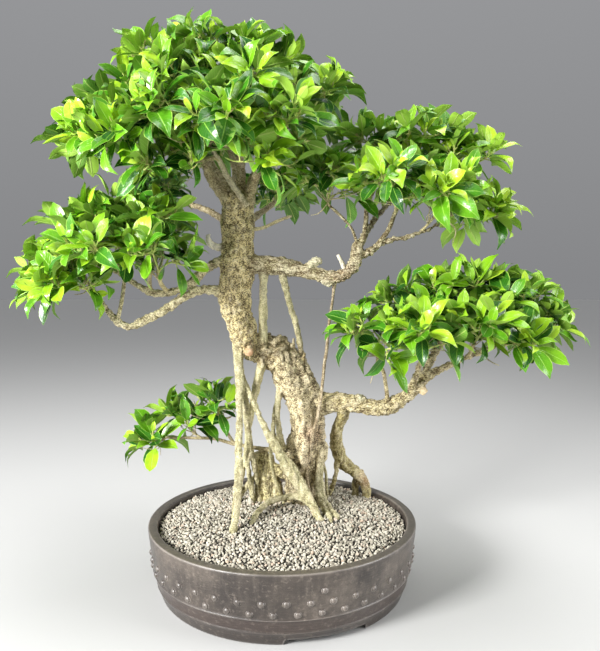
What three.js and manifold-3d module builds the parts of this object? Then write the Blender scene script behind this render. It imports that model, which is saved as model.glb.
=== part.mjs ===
// A Chinese banyan bonsai (Ficus microcarpa) with aerial roots, in a round clay pot.
// Millimetres, +Z up. While it is built, the pot stands on z = 0 round the Z axis,
// with its front towards -Y. At the end the whole tree is moved so that the origin
// lies under the middle of its bounding box.

import * as THREE from "three";
import { mergeVertices } from "three/addons/utils/BufferGeometryUtils.js";
import Module from "manifold-3d";

const wasm = await Module();
wasm.setup();

// Driving dimensions of the pot
const POT_HEIGHT = 100;
const RIM_RADIUS = 200;
const RIM_WIDTH = 13;
const RIM_EDGE_DROP = 6;
const RIM_EDGE_LEAN = 1;
const RIM_CROWN = 0.6;
const INNER_FLOOR_RADIUS = 175;
const FLOOR_UNDERSIDE = 10;
const FLOOR_TOP = 18;
const DRAIN_RADIUS = 25;
const RIDGE_HEIGHT = 37.5;
const RIDGE_RADIUS = 194.5;
const RIDGE_RISE_ABOVE = 1.2;
const RIDGE_RISE_BELOW = 2;
const RIDGE_HALF_HEIGHT = 1.5;
const STEP_HEIGHT = 18;
const STEP_RADIUS = 188.5;
const STEP_DEPTH = 2;
const FOOT_RADIUS = 181.5;
const FOOT_WIDTH = 17;
const FOOT_DRAFT = 2;
const FOOT_CUT_ANGLES = [20, 140, 260];
const FOOT_CUT_HALF_WIDTH = 60;
const FOOT_CUT_SLOPE = 10;
const FOOT_CUT_HEIGHT = 8;
const POT_SIDES = 40;

// The domed studs on the wall, in two rows that zigzag
const STUDS_PER_ROW = 40;
const STUD_CORNERS = 5;
const STUD_RADIUS = 4.9;
const STUD_RISE = 2.8;
const STUD_SUNK = 1;
const STUD_ROWS = [{ height: 60, turn: 2.7 }, { height: 45.5, turn: 7.2 }];
const ODD_STUD = { height: 75.5, angle: 16.9 };

// The corners of the many-sided round stand midway between the two rows' studs
const POT_TURN = STUD_ROWS[0].turn + 90 / POT_SIDES;

// The grit and what it leaves free
const GAP = 0.4;
const SEAT_GAP = 0.3;
const GRIT_EDGE_HEIGHT = 91;
const GRIT_MOUND = 18;
const GRIT_RELIEF = 1.7;
const GRIT_RINGS = 3;
const GRIT_RING_SPACING = 0.9;
const GRIT_JITTER = 0.03;
const SCREEN_SIZE = 74;
const SCREEN_THICKNESS = 1.4;
const SCREEN_OPENING = 15;
const SCREEN_PITCH = 21;

// Pebbles lying in the grit: [x, y, length, turn in degrees], and their shape as shares of
// the length: how wide and high each is, and how far its middle stands above the grit
const PEBBLES = [
  [-52, 30, 17, 20],
  [-26, -2, 17, 75],
  [-39, -20, 14, 130],
  [-104, 38, 15, 10],
  [96, -64, 12, 50],
];
const PEBBLE_BREADTH = 0.75;
const PEBBLE_DEPTH = 0.6;
const PEBBLE_RISE = 0.12;

// Leaves
const LEAF_LENGTH = 54;
const LEAF_WIDTH = 25;
const LEAF_THICKNESS = 1.3;
const LEAF_FOLD = 0.2;
const LEAF_SAG = 0.16;
const LEAF_DRAW_IN = 0.06;
const HUB_RADIUS = 2.3;
const HUB_LEVEL = 4.5;
const BUD_LENGTH = 9;
const STEM_DIAMETER = 3.8;
const FORK_DIAMETER = 3;
const CLEARANCE = 0.45;

// A blade's two rings: how far along the leaf each lies, and its share of the full width
const LEAF_STATIONS = [[0.38, 1], [0.7, 0.8]];

// How the leaves stand round a twig end: the rise of each level in degrees, the turn of the
// upper level, and the lengths as shares of LEAF_LENGTH
const LEAF_RISES = [12, 46];
const LEAF_RISE_RANGE = 16;
const UPPER_LEAF_SWING = Math.PI / 3;
const LEAF_SWING_RANGE = 0.3;
const SHORTEST_LEAF = 0.86;
const LONGEST_LEAF = 1.1;
const FIRST_HUB_RING = 2;
const SPIN_TRIES = 6;
const SPIN_STEP = Math.PI / 9;
const SPRAY_SEED = 7919;
const TWIG_END_SEED = 104729;
const NEIGHBOUR_REACH = 1.4 * LEAF_LENGTH;

// How the leafy twig ends of a spray fan out: how far the fan leans upwards and how far round
// it goes (2 is the whole ball), and what each end's direction is mixed from
const FAN_LIFT = 0.25;
const FAN_REACH = 1.55;
const END_SPREAD = 0.55;
const END_LIFT = 0.45;
const END_STRAIGHTNESS = 0.35;

// Bare twigs between a limb and a leafy spray start inside the limb, thinner than it
const TWIG_OVERLAP = 5;
const TWIG_SHARE = 0.72;
const TWIG_THICKEST = 7;
const TWIG_END = 4.8;

// The foot of a spray lies short of its middle by a share of its half sizes, and a little
// lower. Its twig leaves the limb at a slant, halfway towards the foot and slightly upwards.
const FOOT_SETBACK = 0.6;
const FOOT_NEAREST = 0.3;
const FOOT_DROP = 4;
const SLANT = 0.5;
const SLANT_LIFT = 0.15;
const CURVE_REACH = 0.35;

const UP = new THREE.Vector3(0, 0, 1);

// Woody limbs: the middle line of each as [x, y, z, diameter], and the number of its sides.
// Roots run downwards and end inside the grit, and branches run outwards.
const LIMBS = {
  upper_trunk: {
    sides: 10,
    line: [[-67, 15, 585, 42], [-68, 15, 545, 47], [-67, 12, 502, 46], [-70, 10, 462, 49], [-73, 10, 440, 47],
      [-69, 9, 415, 44], [-61, 7, 385, 44], [-55, 8, 364, 38], [-48, 14, 352, 34], [-31, 22, 349, 40],
      [-12, 30, 339, 46]],
  },
  lower_trunk: {
    sides: 10,
    line: [[-13, 27, 369, 22], [-6, 29, 350, 44], [6, 31, 328, 58], [20, 34, 301, 60], [33, 36, 273, 57],
      [37, 38, 240, 55], [36, 41, 205, 57], [32, 45, 180, 62], [28, 48, 155, 55], [30, 51, 128, 56],
      [32, 52, 94, 62]],
  },
  branch_a: {
    sides: 6,
    line: [[-73, 8, 492, 20], [-92, 4, 486, 14], [-115, -2, 472, 13], [-135, -10, 452, 13],
      [-158, -14, 441, 10], [-190, -19, 440, 10], [-218, -24, 456, 9], [-246, -30, 477, 7.5],
      [-274, -32, 489, 5.5]],
  },
  branch_b: {
    sides: 6,
    line: [[-78, 6, 430, 24], [-94, 0, 441, 15], [-122, -12, 442, 11.5], [-142, -22, 433, 11.5],
      [-165, -31, 417, 11.5], [-195, -37, 401, 11], [-218, -37, 391, 9], [-238, -34, 400, 9.5],
      [-254, -30, 418, 6.5], [-281, -24, 453, 5.5], [-302, -22, 468, 4.5]],
  },
  branch_b_twig: {
    sides: 3,
    line: [[-236, -34, 400, 6], [-230, -32, 428, 5.5], [-228, -28, 452, 5], [-224, -26, 470, 4.5]],
  },
  branch_c: {
    sides: 7,
    line: [[-62, 10, 484, 26], [-31, 10, 481, 27], [2, 8, 478, 24], [32, 5, 471, 21], [55, 2, 465, 19],
      [78, 0, 462, 20], [96, -2, 469, 19], [108, -4, 484, 18], [111, -4, 500, 18], [112, -4, 513, 15]],
  },
  branch_c_right: {
    sides: 5,
    line: [[111, -4, 492, 12], [124, -6, 497, 10.5], [149, -8, 514, 8.2], [180, -12, 520, 6],
      [222, -16, 536, 5], [246, -18, 553, 4.6]],
  },
  branch_c_middle: {
    sides: 5,
    line: [[136, -6, 505, 8], [152, -14, 526, 6.8], [160, -25, 547, 5.8], [166, -40, 563, 5]],
  },
  branch_c_up: {
    sides: 4,
    line: [[113, -4, 505, 10], [119, -4, 518, 8.2], [123, 2, 540, 7], [127, 10, 569, 6], [139, 10, 598, 5.2]],
  },
  branch_c_left: {
    sides: 3,
    line: [[111, -4, 510, 5], [102, -6, 532, 4], [82, -9, 554, 4], [66, -12, 568, 3.8]],
  },
  branch_c_back: {
    sides: 4,
    line: [[112, 0, 508, 11], [127, 25, 530, 9], [148, 55, 558, 7.8], [178, 82, 588, 6]],
  },
  branch_d: {
    sides: 8,
    line: [[46, 36, 262, 36], [73, 30, 268, 31], [95, 24, 270, 28], [117, 15, 268, 25], [140, 5, 265, 23.5],
      [160, 0, 268, 23], [180, -5, 281, 21], [196, -10, 297, 19], [208, -15, 311, 14]],
  },
  branch_d_right: {
    sides: 5,
    line: [[202, -13, 304, 14], [224, -20, 323, 11.5], [247, -22, 335, 8.8], [290, -28, 354, 6.8],
      [330, -30, 371, 5.8], [367, -28, 388, 5]],
  },
  branch_d_up: {
    sides: 4,
    line: [[200, -12, 302, 13], [212, -10, 321, 11], [221, -8, 343, 8.5], [236, -6, 368, 6.5]],
  },
  branch_d_left: {
    sides: 3,
    line: [[159, -3, 272, 8], [155, -12, 292, 6], [147, -34, 324, 5], [136, -50, 350, 4.6]],
  },
  branch_d_front: {
    sides: 4,
    line: [[192, -12, 296, 10.5], [193, -35, 316, 8.5], [194, -62, 340, 6.5]],
  },
  branch_d_back: {
    sides: 4,
    line: [[206, -10, 309, 10.5], [223, 20, 326, 9], [244, 50, 348, 7]],
  },
  low_branch: {
    sides: 4,
    line: [[0, 38, 190, 9], [-34, 42, 192, 6.5], [-77, 50, 197, 5.8], [-109, 50, 206, 5],
      [-150, 46, 208, 4.4], [-186, 43, 210, 4]],
  },
  low_branch_up: {
    sides: 3,
    line: [[-78, 50, 198, 5], [-92, 52, 220, 4.5], [-102, 52, 236, 4.2]],
  },
  root_left: {
    sides: 6,
    line: [[-60, 4, 384, 24], [-65, 0, 362, 18], [-65, -3, 334, 14.5], [-63, -6, 308, 14],
      [-64, -12, 280, 10.5], [-63, -20, 251, 9.5], [-63, -35, 210, 11.5], [-62, -47, 178, 12],
      [-64, -60, 142, 11], [-69, -76, 92, 10]],
  },
  root_left_back: {
    sides: 4,
    line: [[-62, -4, 315, 11], [-57, 1, 285, 9.5], [-55, 10, 240, 9.5], [-50, 22, 198, 8.5],
      [-42, 34, 150, 8], [-40, 42, 112, 8], [-40, 44, 92, 8]],
  },
  root_left_twin: {
    sides: 3,
    line: [[-54, 15, 221, 7], [-57, 20, 195, 7.5], [-53, 29, 155, 7.5], [-48, 34, 110, 8], [-47, 35, 92, 8]],
  },
  root_diagonal: {
    sides: 6,
    line: [[-60, -4, 315, 7], [-44, -6, 277, 8.2], [-31, -7, 247, 9], [-19, -8, 223, 10.5], [-3, -5, 195, 17],
      [14, -2, 168, 21], [32, -9, 140, 18], [46, -20, 120, 13.5], [55, -33, 103, 11], [58, -38, 92, 10]],
  },
  root_straight: {
    sides: 5,
    line: [[-28, 11, 480, 17], [-29, 12, 450, 12.5], [-30, 12, 397, 12], [-30, 12, 345, 14],
      [-43, 15, 284, 10.5], [-51, 21, 243, 9], [-59, 30, 180, 8], [-68, 38, 135, 8], [-74, 43, 92, 8]],
  },
  root_slanted: {
    sides: 4,
    line: [[-2, 8, 478, 14], [2, 8, 458, 10.5], [11, 12, 420, 8.3], [22, 19, 382, 8.2], [27, 25, 350, 8.2],
      [27, 28, 334, 8]],
  },
  root_thin: {
    sides: 4,
    line: [[78, 0, 464, 9], [77, 0, 448, 5.4], [71, 2, 398, 4.8], [64, 6, 337, 4.8], [55, 10, 259, 5.2],
      [41, 13, 196, 5.4], [36, 15, 164, 5], [40, 16, 135, 5], [47, 19, 92, 5]],
  },
  root_arch: {
    sides: 7,
    line: [[94, 26, 266, 24], [93, 36, 246, 19], [87, 48, 227, 17.5], [84, 60, 206, 20],
      [86, 72, 185, 21], [95, 84, 161, 21], [111, 91, 144, 19.5], [127, 96, 130, 19],
      [136, 99, 111, 15.5], [138, 100, 89, 14.5]],
  },
  root_arch_inner: {
    sides: 4,
    line: [[122, 100, 134, 13], [120, 104, 112, 10.5], [119, 106, 88, 9]],
  },
  root_arch_side: {
    sides: 4,
    line: [[87, 72, 178, 10], [86, 76, 148, 7], [82, 80, 124, 6.8], [76, 84, 106, 6.8], [75, 85, 92, 6.8]],
  },
  root_back: {
    sides: 3,
    line: [[58, 60, 178, 7], [67, 66, 150, 5], [70, 71, 112, 5], [70, 72, 92, 5]],
  },
  root_centre: {
    sides: 6,
    line: [[53, 36, 196, 20], [55, 32, 168, 16], [55, 31, 144, 14.5], [56, 33, 122, 17], [57, 35, 92, 18]],
  },
  root_toe_left: {
    sides: 4,
    line: [[56, 30, 117, 13], [63, 2, 110, 9.5], [71, -28, 105, 8], [75, -46, 96, 7]],
  },
  root_toe_right: {
    sides: 4,
    line: [[60, 32, 117, 12], [71, 6, 110, 9], [81, -22, 105, 7.5], [85, -36, 96, 7]],
  },
  root_surface: {
    sides: 5,
    line: [[44, -16, 124, 11], [36, -2, 125, 13], [22, 8, 126, 11], [2, 8, 124, 10],
      [-19, 0, 121, 10], [-32, -18, 117, 9.7], [-41, -40, 110, 9], [-46, -54, 97, 8]],
  },
  stump_left: {
    sides: 5,
    line: [[-42, 46, 186, 9.5], [-40, 46, 157, 14], [-36, 46, 119, 16], [-36, 46, 92, 17]],
  },
  stump_middle: {
    sides: 5,
    line: [[-32, 46, 191, 11], [-29, 46, 157, 16], [-24, 46, 119, 17], [-24, 46, 92, 18]],
  },
  stump_right: {
    sides: 5,
    line: [[-23, 48, 180, 10], [-16, 47, 150, 14], [-9, 47, 118, 16], [-8, 47, 92, 17]],
  },
  stump_link: {
    sides: 4,
    line: [[-20, 47, 160, 13], [-2, 47, 152, 18], [16, 47, 150, 22]],
  },
  root_low_left: {
    sides: 3,
    line: [[-42, 40, 150, 8], [-58, 42, 131, 7.8], [-72, 46, 108, 7.5], [-77, 47, 94, 7]],
  },
  root_hair: {
    sides: 3,
    line: [[-18, -6, 223, 8], [-18, 8, 209, 7], [-18, 20, 178, 5.6], [-13, 27, 149, 5.2],
      [0, 30, 110, 5], [2, 31, 92, 5]],
  },
  root_fused_inner: {
    sides: 5,
    line: [[6, 30, 312, 16], [-5, 24, 286, 10], [-8, 21, 258, 8.2], [-6, 20, 227, 8.2], [0, 24, 196, 12]],
  },
  root_fused_outer: {
    sides: 4,
    line: [[-5, 26, 284, 8], [-12, 27, 257, 7.2], [-15, 27, 233, 7.2], [-13, 27, 210, 8], [0, 30, 186, 12]],
  },
  crown_left: {
    sides: 6,
    line: [[-72, 12, 566, 26], [-88, 5, 587, 20], [-102, -5, 604, 16], [-110, -15, 622, 13],
      [-126, -25, 643, 10.5], [-172, -38, 666, 7.5], [-238, -36, 668, 5]],
  },
  crown_strap: {
    sides: 4,
    line: [[-52, -2, 566, 11], [-66, -11, 588, 9.5], [-78, -25, 606, 8.7], [-86, -48, 624, 7.5],
      [-102, -85, 645, 5.8]],
  },
  crown_middle: {
    sides: 5,
    line: [[-64, 17, 570, 20], [-62, 14, 599, 14], [-63, 8, 640, 11], [-76, 0, 688, 8.2],
      [-92, -8, 738, 5.2]],
  },
  crown_right: {
    sides: 5,
    line: [[-54, 12, 563, 22], [-46, 5, 590, 15.5], [-37, 0, 610, 12], [-12, -7, 640, 9.6],
      [24, -12, 676, 6]],
  },
  crown_front: {
    sides: 4,
    line: [[-46, 2, 592, 11], [-34, -25, 612, 8.7], [-20, -62, 628, 6]],
  },
  crown_top_left: {
    sides: 4,
    line: [[-67, 5, 655, 8.5], [-98, 0, 684, 7.4], [-152, -8, 732, 5.4]],
  },
  crown_top_right: {
    sides: 4,
    line: [[-65, 8, 648, 8.5], [-47, 8, 686, 7.4], [-26, 0, 742, 5.2]],
  },
  crown_back_left: {
    sides: 4,
    line: [[-75, 18, 575, 18], [-100, 52, 620, 12], [-137, 85, 670, 9.4], [-185, 98, 715, 6]],
  },
  crown_back_right: {
    sides: 4,
    line: [[-56, 20, 578, 18], [-40, 58, 628, 12], [-14, 88, 680, 9], [10, 96, 705, 6]],
  },
  crown_back: {
    sides: 4,
    line: [[-65, 17, 582, 16], [-78, 72, 640, 9.5], [-94, 112, 690, 7.5], [-97, 118, 745, 5.4]],
  },
  back_left: {
    sides: 5,
    line: [[-70, 20, 524, 17], [-92, 62, 549, 11], [-130, 112, 573, 9.4], [-190, 160, 592, 6.4]],
  },
  back_right: {
    sides: 5,
    line: [[-64, 22, 532, 16], [-43, 70, 558, 10.4], [-23, 122, 579, 8.2], [-17, 150, 590, 6]],
  },
  dead_stub_left: {
    sides: 4,
    line: [[-84, 8, 508, 13], [-97, 0, 506, 10.3], [-107, -4, 512, 8.5], [-109, -6, 525, 5.5]],
  },
  dead_stub_right: {
    sides: 3,
    line: [[94, -2, 470, 8], [87, -4, 486, 6], [82, -6, 495, 4.5]],
  },
  bare_twig_right: {
    sides: 3,
    line: [[-54, 12, 532, 8], [-31, 16, 535, 5], [-8, 21, 546, 4.6], [14, 25, 554, 4]],
  },
  sawn_stub: {
    sides: 6,
    line: [[-52, 8, 360, 14], [-50, -5, 354, 13], [-49, -14, 350, 13]],
  },
  sawn_knob_right: {
    sides: 6,
    line: [[201, -12, 303, 14], [207, -15, 296, 13], [212, -18, 291, 11]],
  },
};

// Leafy sprays: the limb that carries each, how far along it (0 to 1) its twig leaves, the
// middle of its foliage, the half sizes that the twig ends spread over, and the leafy twig ends.
const SPRAYS = [
  ["crown_far_left", "crown_left", 1, [-268, -20, 664], [45, 38, 26], 1],
  ["crown_left_high", "crown_top_left", 0.75, [-232, 0, 716], [42, 38, 26], 1],
  ["crown_left_front", "crown_left", 0.75, [-197, -95, 655], [40, 35, 30], 1],
  ["crown_top_left", "crown_top_left", 1, [-168, -20, 766], [38, 38, 24], 1],
  ["crown_top_middle", "crown_middle", 1, [-97, -30, 780], [38, 38, 22], 1],
  ["crown_top_right", "crown_top_right", 1, [-28, -10, 776], [40, 38, 22], 1],
  ["crown_right_high", "crown_right", 1, [42, -20, 708], [42, 40, 34], 2],
  ["crown_front_left", "crown_strap", 1, [-132, -125, 667], [38, 36, 32], 1],
  ["crown_front_middle", "crown_strap", 0.9, [-67, -145, 656], [38, 34, 32], 1],
  ["crown_front_right", "crown_front", 1, [4, -115, 660], [40, 34, 30], 1],
  ["crown_low_left", "crown_strap", 0.7, [-141, -95, 616], [36, 34, 20], 1],
  ["crown_low_right", "crown_front", 0.8, [-24, -98, 620], [36, 32, 18], 1],
  ["crown_upper_left", "crown_middle", 0.8, [-129, -90, 720], [36, 34, 30], 1],
  ["crown_upper_right", "crown_middle", 0.7, [-44, -95, 716], [38, 34, 30], 1],
  ["crown_back_left", "crown_back_left", 1, [-212, 105, 726], [48, 40, 30], 2],
  ["crown_back_middle", "crown_back", 1, [-97, 118, 768], [44, 38, 26], 2],
  ["crown_back_right", "crown_back_right", 1, [18, 98, 718], [44, 40, 30], 2],
  ["crown_back_low", "crown_back", 0.6, [-119, 170, 690], [44, 36, 30], 1],
  ["rear_left", "back_left", 1, [-226, 188, 606], [44, 36, 20], 1],
  ["rear_right", "back_right", 1, [-15, 182, 606], [40, 36, 20], 1],
  ["left_tip", "branch_b", 1, [-330, -20, 474], [24, 34, 20], 1],
  ["left_high", "branch_b", 0.92, [-298, -16, 522], [32, 36, 22], 1],
  ["left_middle", "branch_a", 0.95, [-242, -30, 545], [36, 36, 24], 1],
  ["left_inner", "branch_a", 0.6, [-170, -45, 533], [36, 34, 24], 1],
  ["left_front", "branch_b_twig", 1, [-235, -92, 500], [38, 32, 24], 1],
  ["left_front_inner", "branch_a", 0.5, [-169, -88, 494], [36, 32, 22], 1],
  ["left_low", "branch_b", 0.88, [-296, -68, 455], [34, 30, 20], 1],
  ["left_back", "branch_a", 0.85, [-240, 60, 535], [42, 36, 24], 1],
  ["right_left", "branch_c_left", 1, [68, -22, 598], [34, 34, 26], 1],
  ["right_top_left", "branch_c_up", 1, [136, 0, 647], [36, 36, 24], 1],
  ["right_top", "branch_c_middle", 1, [197, -14, 656], [38, 36, 22], 1],
  ["right_top_right", "branch_c_right", 0.9, [258, -10, 628], [36, 36, 24], 1],
  ["right_tip", "branch_c_right", 1, [278, -20, 558], [26, 34, 22], 1],
  ["right_front", "branch_c_middle", 0.85, [153, -92, 588], [38, 32, 28], 1],
  ["right_front_outer", "branch_c_right", 0.7, [222, -85, 574], [38, 32, 26], 1],
  ["right_back", "branch_c_back", 1, [205, 90, 625], [46, 36, 26], 2],
  ["low_right_left", "branch_d_left", 1, [126, -60, 372], [30, 32, 28], 1],
  ["low_right_top_left", "branch_d_up", 0.9, [189, -20, 422], [36, 36, 22], 1],
  ["low_right_top", "branch_d_up", 1, [261, -12, 442], [38, 36, 22], 1],
  ["low_right_top_outer", "branch_d_right", 0.75, [325, -20, 432], [36, 36, 22], 1],
  ["low_right_tip", "branch_d_right", 1, [382, -20, 392], [24, 32, 18], 1],
  ["low_right_front", "branch_d_front", 1, [192, -112, 390], [38, 32, 24], 1],
  ["low_right_front_outer", "branch_d_right", 0.45, [268, -92, 395], [38, 32, 24], 1],
  ["low_right_under", "branch_d_right", 0.7, [329, -62, 376], [36, 32, 18], 1],
  ["low_right_back", "branch_d_back", 1, [290, 80, 398], [46, 36, 24], 2],
  ["low_left_tip", "low_branch", 1, [-210, 40, 208], [20, 24, 12], 1],
  ["low_left_middle", "low_branch", 0.72, [-158, 46, 240], [22, 22, 14], 1],
  ["low_left_inner", "low_branch_up", 1, [-112, 54, 262], [20, 22, 14], 1],
];

// Three.js geometry and solids

function solidFromTriangles(vertices, triangles) {
  return new wasm.Manifold(new wasm.Mesh({
    numProp: 3,
    vertProperties: new Float32Array(vertices.flat()),
    triVerts: new Uint32Array(triangles.flat()),
  }));
}

function solidFromGeometry(geometry) {
  const bare = geometry.clone();
  bare.deleteAttribute("normal");
  bare.deleteAttribute("uv");
  const merged = mergeVertices(bare, 1e-3);
  const position = merged.getAttribute("position");
  const vertices = [];
  for (let i = 0; i < position.count; i += 1) {
    vertices.push([position.getX(i), position.getY(i), position.getZ(i)]);
  }
  const triangles = [];
  const index = merged.getIndex();
  for (let i = 0; i < index.count; i += 3) {
    const corner = [index.getX(i), index.getX(i + 1), index.getX(i + 2)];
    if (new Set(corner).size === 3) {
      triangles.push(corner);
    }
  }
  return solidFromTriangles(vertices, triangles);
}

function meshFromSolid(name, solid, colour, roughness) {
  const { vertProperties, triVerts, numProp } = solid.getMesh();
  const geometry = new THREE.BufferGeometry();
  const positions = new Float32Array((vertProperties.length / numProp) * 3);
  for (let i = 0; i < positions.length / 3; i += 1) {
    positions.set(vertProperties.subarray(i * numProp, i * numProp + 3), i * 3);
  }
  geometry.setAttribute("position", new THREE.BufferAttribute(positions, 3));
  geometry.setIndex(new THREE.BufferAttribute(new Uint32Array(triVerts), 1));
  geometry.computeVertexNormals();
  const material = new THREE.MeshStandardMaterial({ color: colour, roughness, metalness: 0 });
  const mesh = new THREE.Mesh(geometry, material);
  mesh.name = name;
  return mesh;
}

// A seeded run of draws between 0 and 1, the same on every machine
function seededDraws(seed) {
  const modulus = 2147483647;
  let state = seed % modulus;
  const draw = () => {
    state = (state * 16807) % modulus;
    return state / modulus;
  };
  draw();
  draw();
  return draw;
}

// Rings of points round a line, turned as little as possible from one to the next. A ring
// stands square to the line, or to a direction of its own.
function ringsAlong(points, diameters, sides, directions = [], spin = 0) {
  let side = null;
  return points.map((point, i) => {
    const before = points[Math.max(i - 1, 0)];
    const after = points[Math.min(i + 1, points.length - 1)];
    const along = (directions[i] || after.clone().sub(before)).clone().normalize();
    if (side === null) {
      const helper = Math.abs(along.z) > 0.8 ? new THREE.Vector3(0, 1, 0) : UP;
      side = helper.clone().cross(along).normalize().applyAxisAngle(along, spin);
    }
    side = side.clone().addScaledVector(along, -side.dot(along)).normalize();
    const other = along.clone().cross(side);
    return Array.from({ length: sides }, (_, k) => {
      const angle = (2 * Math.PI * k) / sides;
      return point.clone()
        .addScaledVector(side, (Math.cos(angle) * diameters[i]) / 2)
        .addScaledVector(other, (Math.sin(angle) * diameters[i]) / 2);
    });
  });
}

function tube(points, diameters, sides, directions = []) {
  const rings = ringsAlong(points, diameters, sides, directions);
  const vertices = rings.flat().map((p) => p.toArray());
  const triangles = [];
  for (let i = 0; i + 1 < rings.length; i += 1) {
    for (let k = 0; k < sides; k += 1) {
      const a = i * sides + k;
      const b = i * sides + ((k + 1) % sides);
      triangles.push([a, b, b + sides], [a, b + sides, a + sides]);
    }
  }
  const last = (rings.length - 1) * sides;
  for (let k = 1; k + 1 < sides; k += 1) {
    triangles.push([0, k + 1, k], [last, last + k, last + k + 1]);
  }
  return solidFromTriangles(vertices, triangles);
}

// The clay pot

// The outline of the wall and floor, up the outside and back down the inside
function potProfile() {
  return [
    [DRAIN_RADIUS, FLOOR_UNDERSIDE],
    [FOOT_RADIUS - FOOT_WIDTH - FOOT_DRAFT, FLOOR_UNDERSIDE],
    [FOOT_RADIUS - FOOT_WIDTH, 0],
    [FOOT_RADIUS, 0],
    [STEP_RADIUS - STEP_DEPTH, STEP_HEIGHT - STEP_DEPTH],
    [STEP_RADIUS, STEP_HEIGHT],
    [RIDGE_RADIUS - RIDGE_RISE_BELOW, RIDGE_HEIGHT - RIDGE_HALF_HEIGHT],
    [RIDGE_RADIUS, RIDGE_HEIGHT],
    [RIDGE_RADIUS - RIDGE_RISE_ABOVE, RIDGE_HEIGHT + RIDGE_HALF_HEIGHT],
    [RIM_RADIUS, POT_HEIGHT - RIM_EDGE_DROP],
    [RIM_RADIUS - RIM_EDGE_LEAN, POT_HEIGHT - RIM_CROWN],
    [RIM_RADIUS - RIM_WIDTH, POT_HEIGHT],
    [INNER_FLOOR_RADIUS, FLOOR_TOP],
    [DRAIN_RADIUS, FLOOR_TOP],
    [DRAIN_RADIUS, FLOOR_UNDERSIDE],
  ];
}

// An angle from the front, in degrees to the right, as a turn about Z
function turnFromFront(angle) {
  return THREE.MathUtils.degToRad(angle - 90);
}

// The wall's radius at a height, outside above the ridge and inside above the floor
function outerRadiusAt(height) {
  const top = POT_HEIGHT - RIM_EDGE_DROP;
  const bottom = RIDGE_HEIGHT + RIDGE_HALF_HEIGHT;
  const share = (height - bottom) / (top - bottom);
  return THREE.MathUtils.lerp(RIDGE_RADIUS - RIDGE_RISE_ABOVE, RIM_RADIUS, share);
}

function innerRadiusAt(height) {
  const share = (height - FLOOR_TOP) / (POT_HEIGHT - FLOOR_TOP);
  return THREE.MathUtils.lerp(INNER_FLOOR_RADIUS, RIM_RADIUS - RIM_WIDTH, share);
}

function lathe(profile) {
  const points = profile.map(([radius, height]) => new THREE.Vector2(radius, height));
  const geometry = new THREE.LatheGeometry(points, POT_SIDES);
  geometry.rotateX(Math.PI / 2);
  geometry.rotateZ(turnFromFront(POT_TURN));
  return solidFromGeometry(geometry);
}

// A stud is a low cone with its foot sunk into the wall
function stud(height, angle) {
  const depth = STUD_RISE + STUD_SUNK;
  const facetShare = Math.cos(Math.PI / POT_SIDES);
  const geometry = new THREE.ConeGeometry((STUD_RADIUS * depth) / STUD_RISE, depth, STUD_CORNERS);
  geometry.rotateZ(-Math.PI / 2);
  geometry.translate(outerRadiusAt(height) * facetShare + STUD_RISE - depth / 2, 0, height);
  geometry.rotateZ(turnFromFront(angle));
  return solidFromGeometry(geometry);
}

// The gap between two feet, cut from well below the foot ring and right through it
function footCut(angle) {
  const margin = 1;
  const depth = RIM_RADIUS / 3;
  const shape = new THREE.Shape([
    new THREE.Vector2(-FOOT_CUT_HALF_WIDTH, -margin),
    new THREE.Vector2(FOOT_CUT_HALF_WIDTH, -margin),
    new THREE.Vector2(FOOT_CUT_HALF_WIDTH - FOOT_CUT_SLOPE, FOOT_CUT_HEIGHT),
    new THREE.Vector2(FOOT_CUT_SLOPE - FOOT_CUT_HALF_WIDTH, FOOT_CUT_HEIGHT),
  ]);
  const geometry = new THREE.ExtrudeGeometry(shape, { depth, bevelEnabled: false });
  geometry.rotateX(Math.PI / 2);
  geometry.translate(0, RIM_RADIUS, 0);
  geometry.rotateZ(turnFromFront(angle) - Math.PI / 2);
  return solidFromGeometry(geometry);
}

function makePot() {
  const studs = [stud(ODD_STUD.height, ODD_STUD.angle)];
  STUD_ROWS.forEach(({ height, turn }) => {
    for (let i = 0; i < STUDS_PER_ROW; i += 1) {
      studs.push(stud(height, turn + (360 * i) / STUDS_PER_ROW));
    }
  });
  const body = wasm.Manifold.union([lathe(potProfile()), ...studs]);
  return body.subtract(wasm.Manifold.union(FOOT_CUT_ANGLES.map(footCut)));
}

// The plastic mesh over the drain hole

function makeScreen() {
  const box = (size, height, x, y) => {
    const geometry = new THREE.BoxGeometry(size, size, height);
    geometry.translate(x, y, FLOOR_TOP + SEAT_GAP + SCREEN_THICKNESS / 2);
    return solidFromGeometry(geometry);
  };
  const openings = [];
  for (let row = -1; row <= 1; row += 1) {
    for (let column = -1; column <= 1; column += 1) {
      openings.push(box(SCREEN_OPENING, 2 * SCREEN_THICKNESS, column * SCREEN_PITCH, row * SCREEN_PITCH));
    }
  }
  return box(SCREEN_SIZE, SCREEN_THICKNESS, 0, 0).subtract(wasm.Manifold.union(openings));
}

// The grit bed

const GRIT_SEED = 401;
const GRIT_RADIUS = innerRadiusAt(GRIT_EDGE_HEIGHT) - GAP;
const GRIT_UNDERSIDE = FLOOR_TOP + GAP;

function gritHeight(x, y) {
  const share = Math.hypot(x, y) / GRIT_RADIUS;
  return GRIT_EDGE_HEIGHT + GRIT_MOUND * Math.max(0, 1 - share * share);
}

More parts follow.
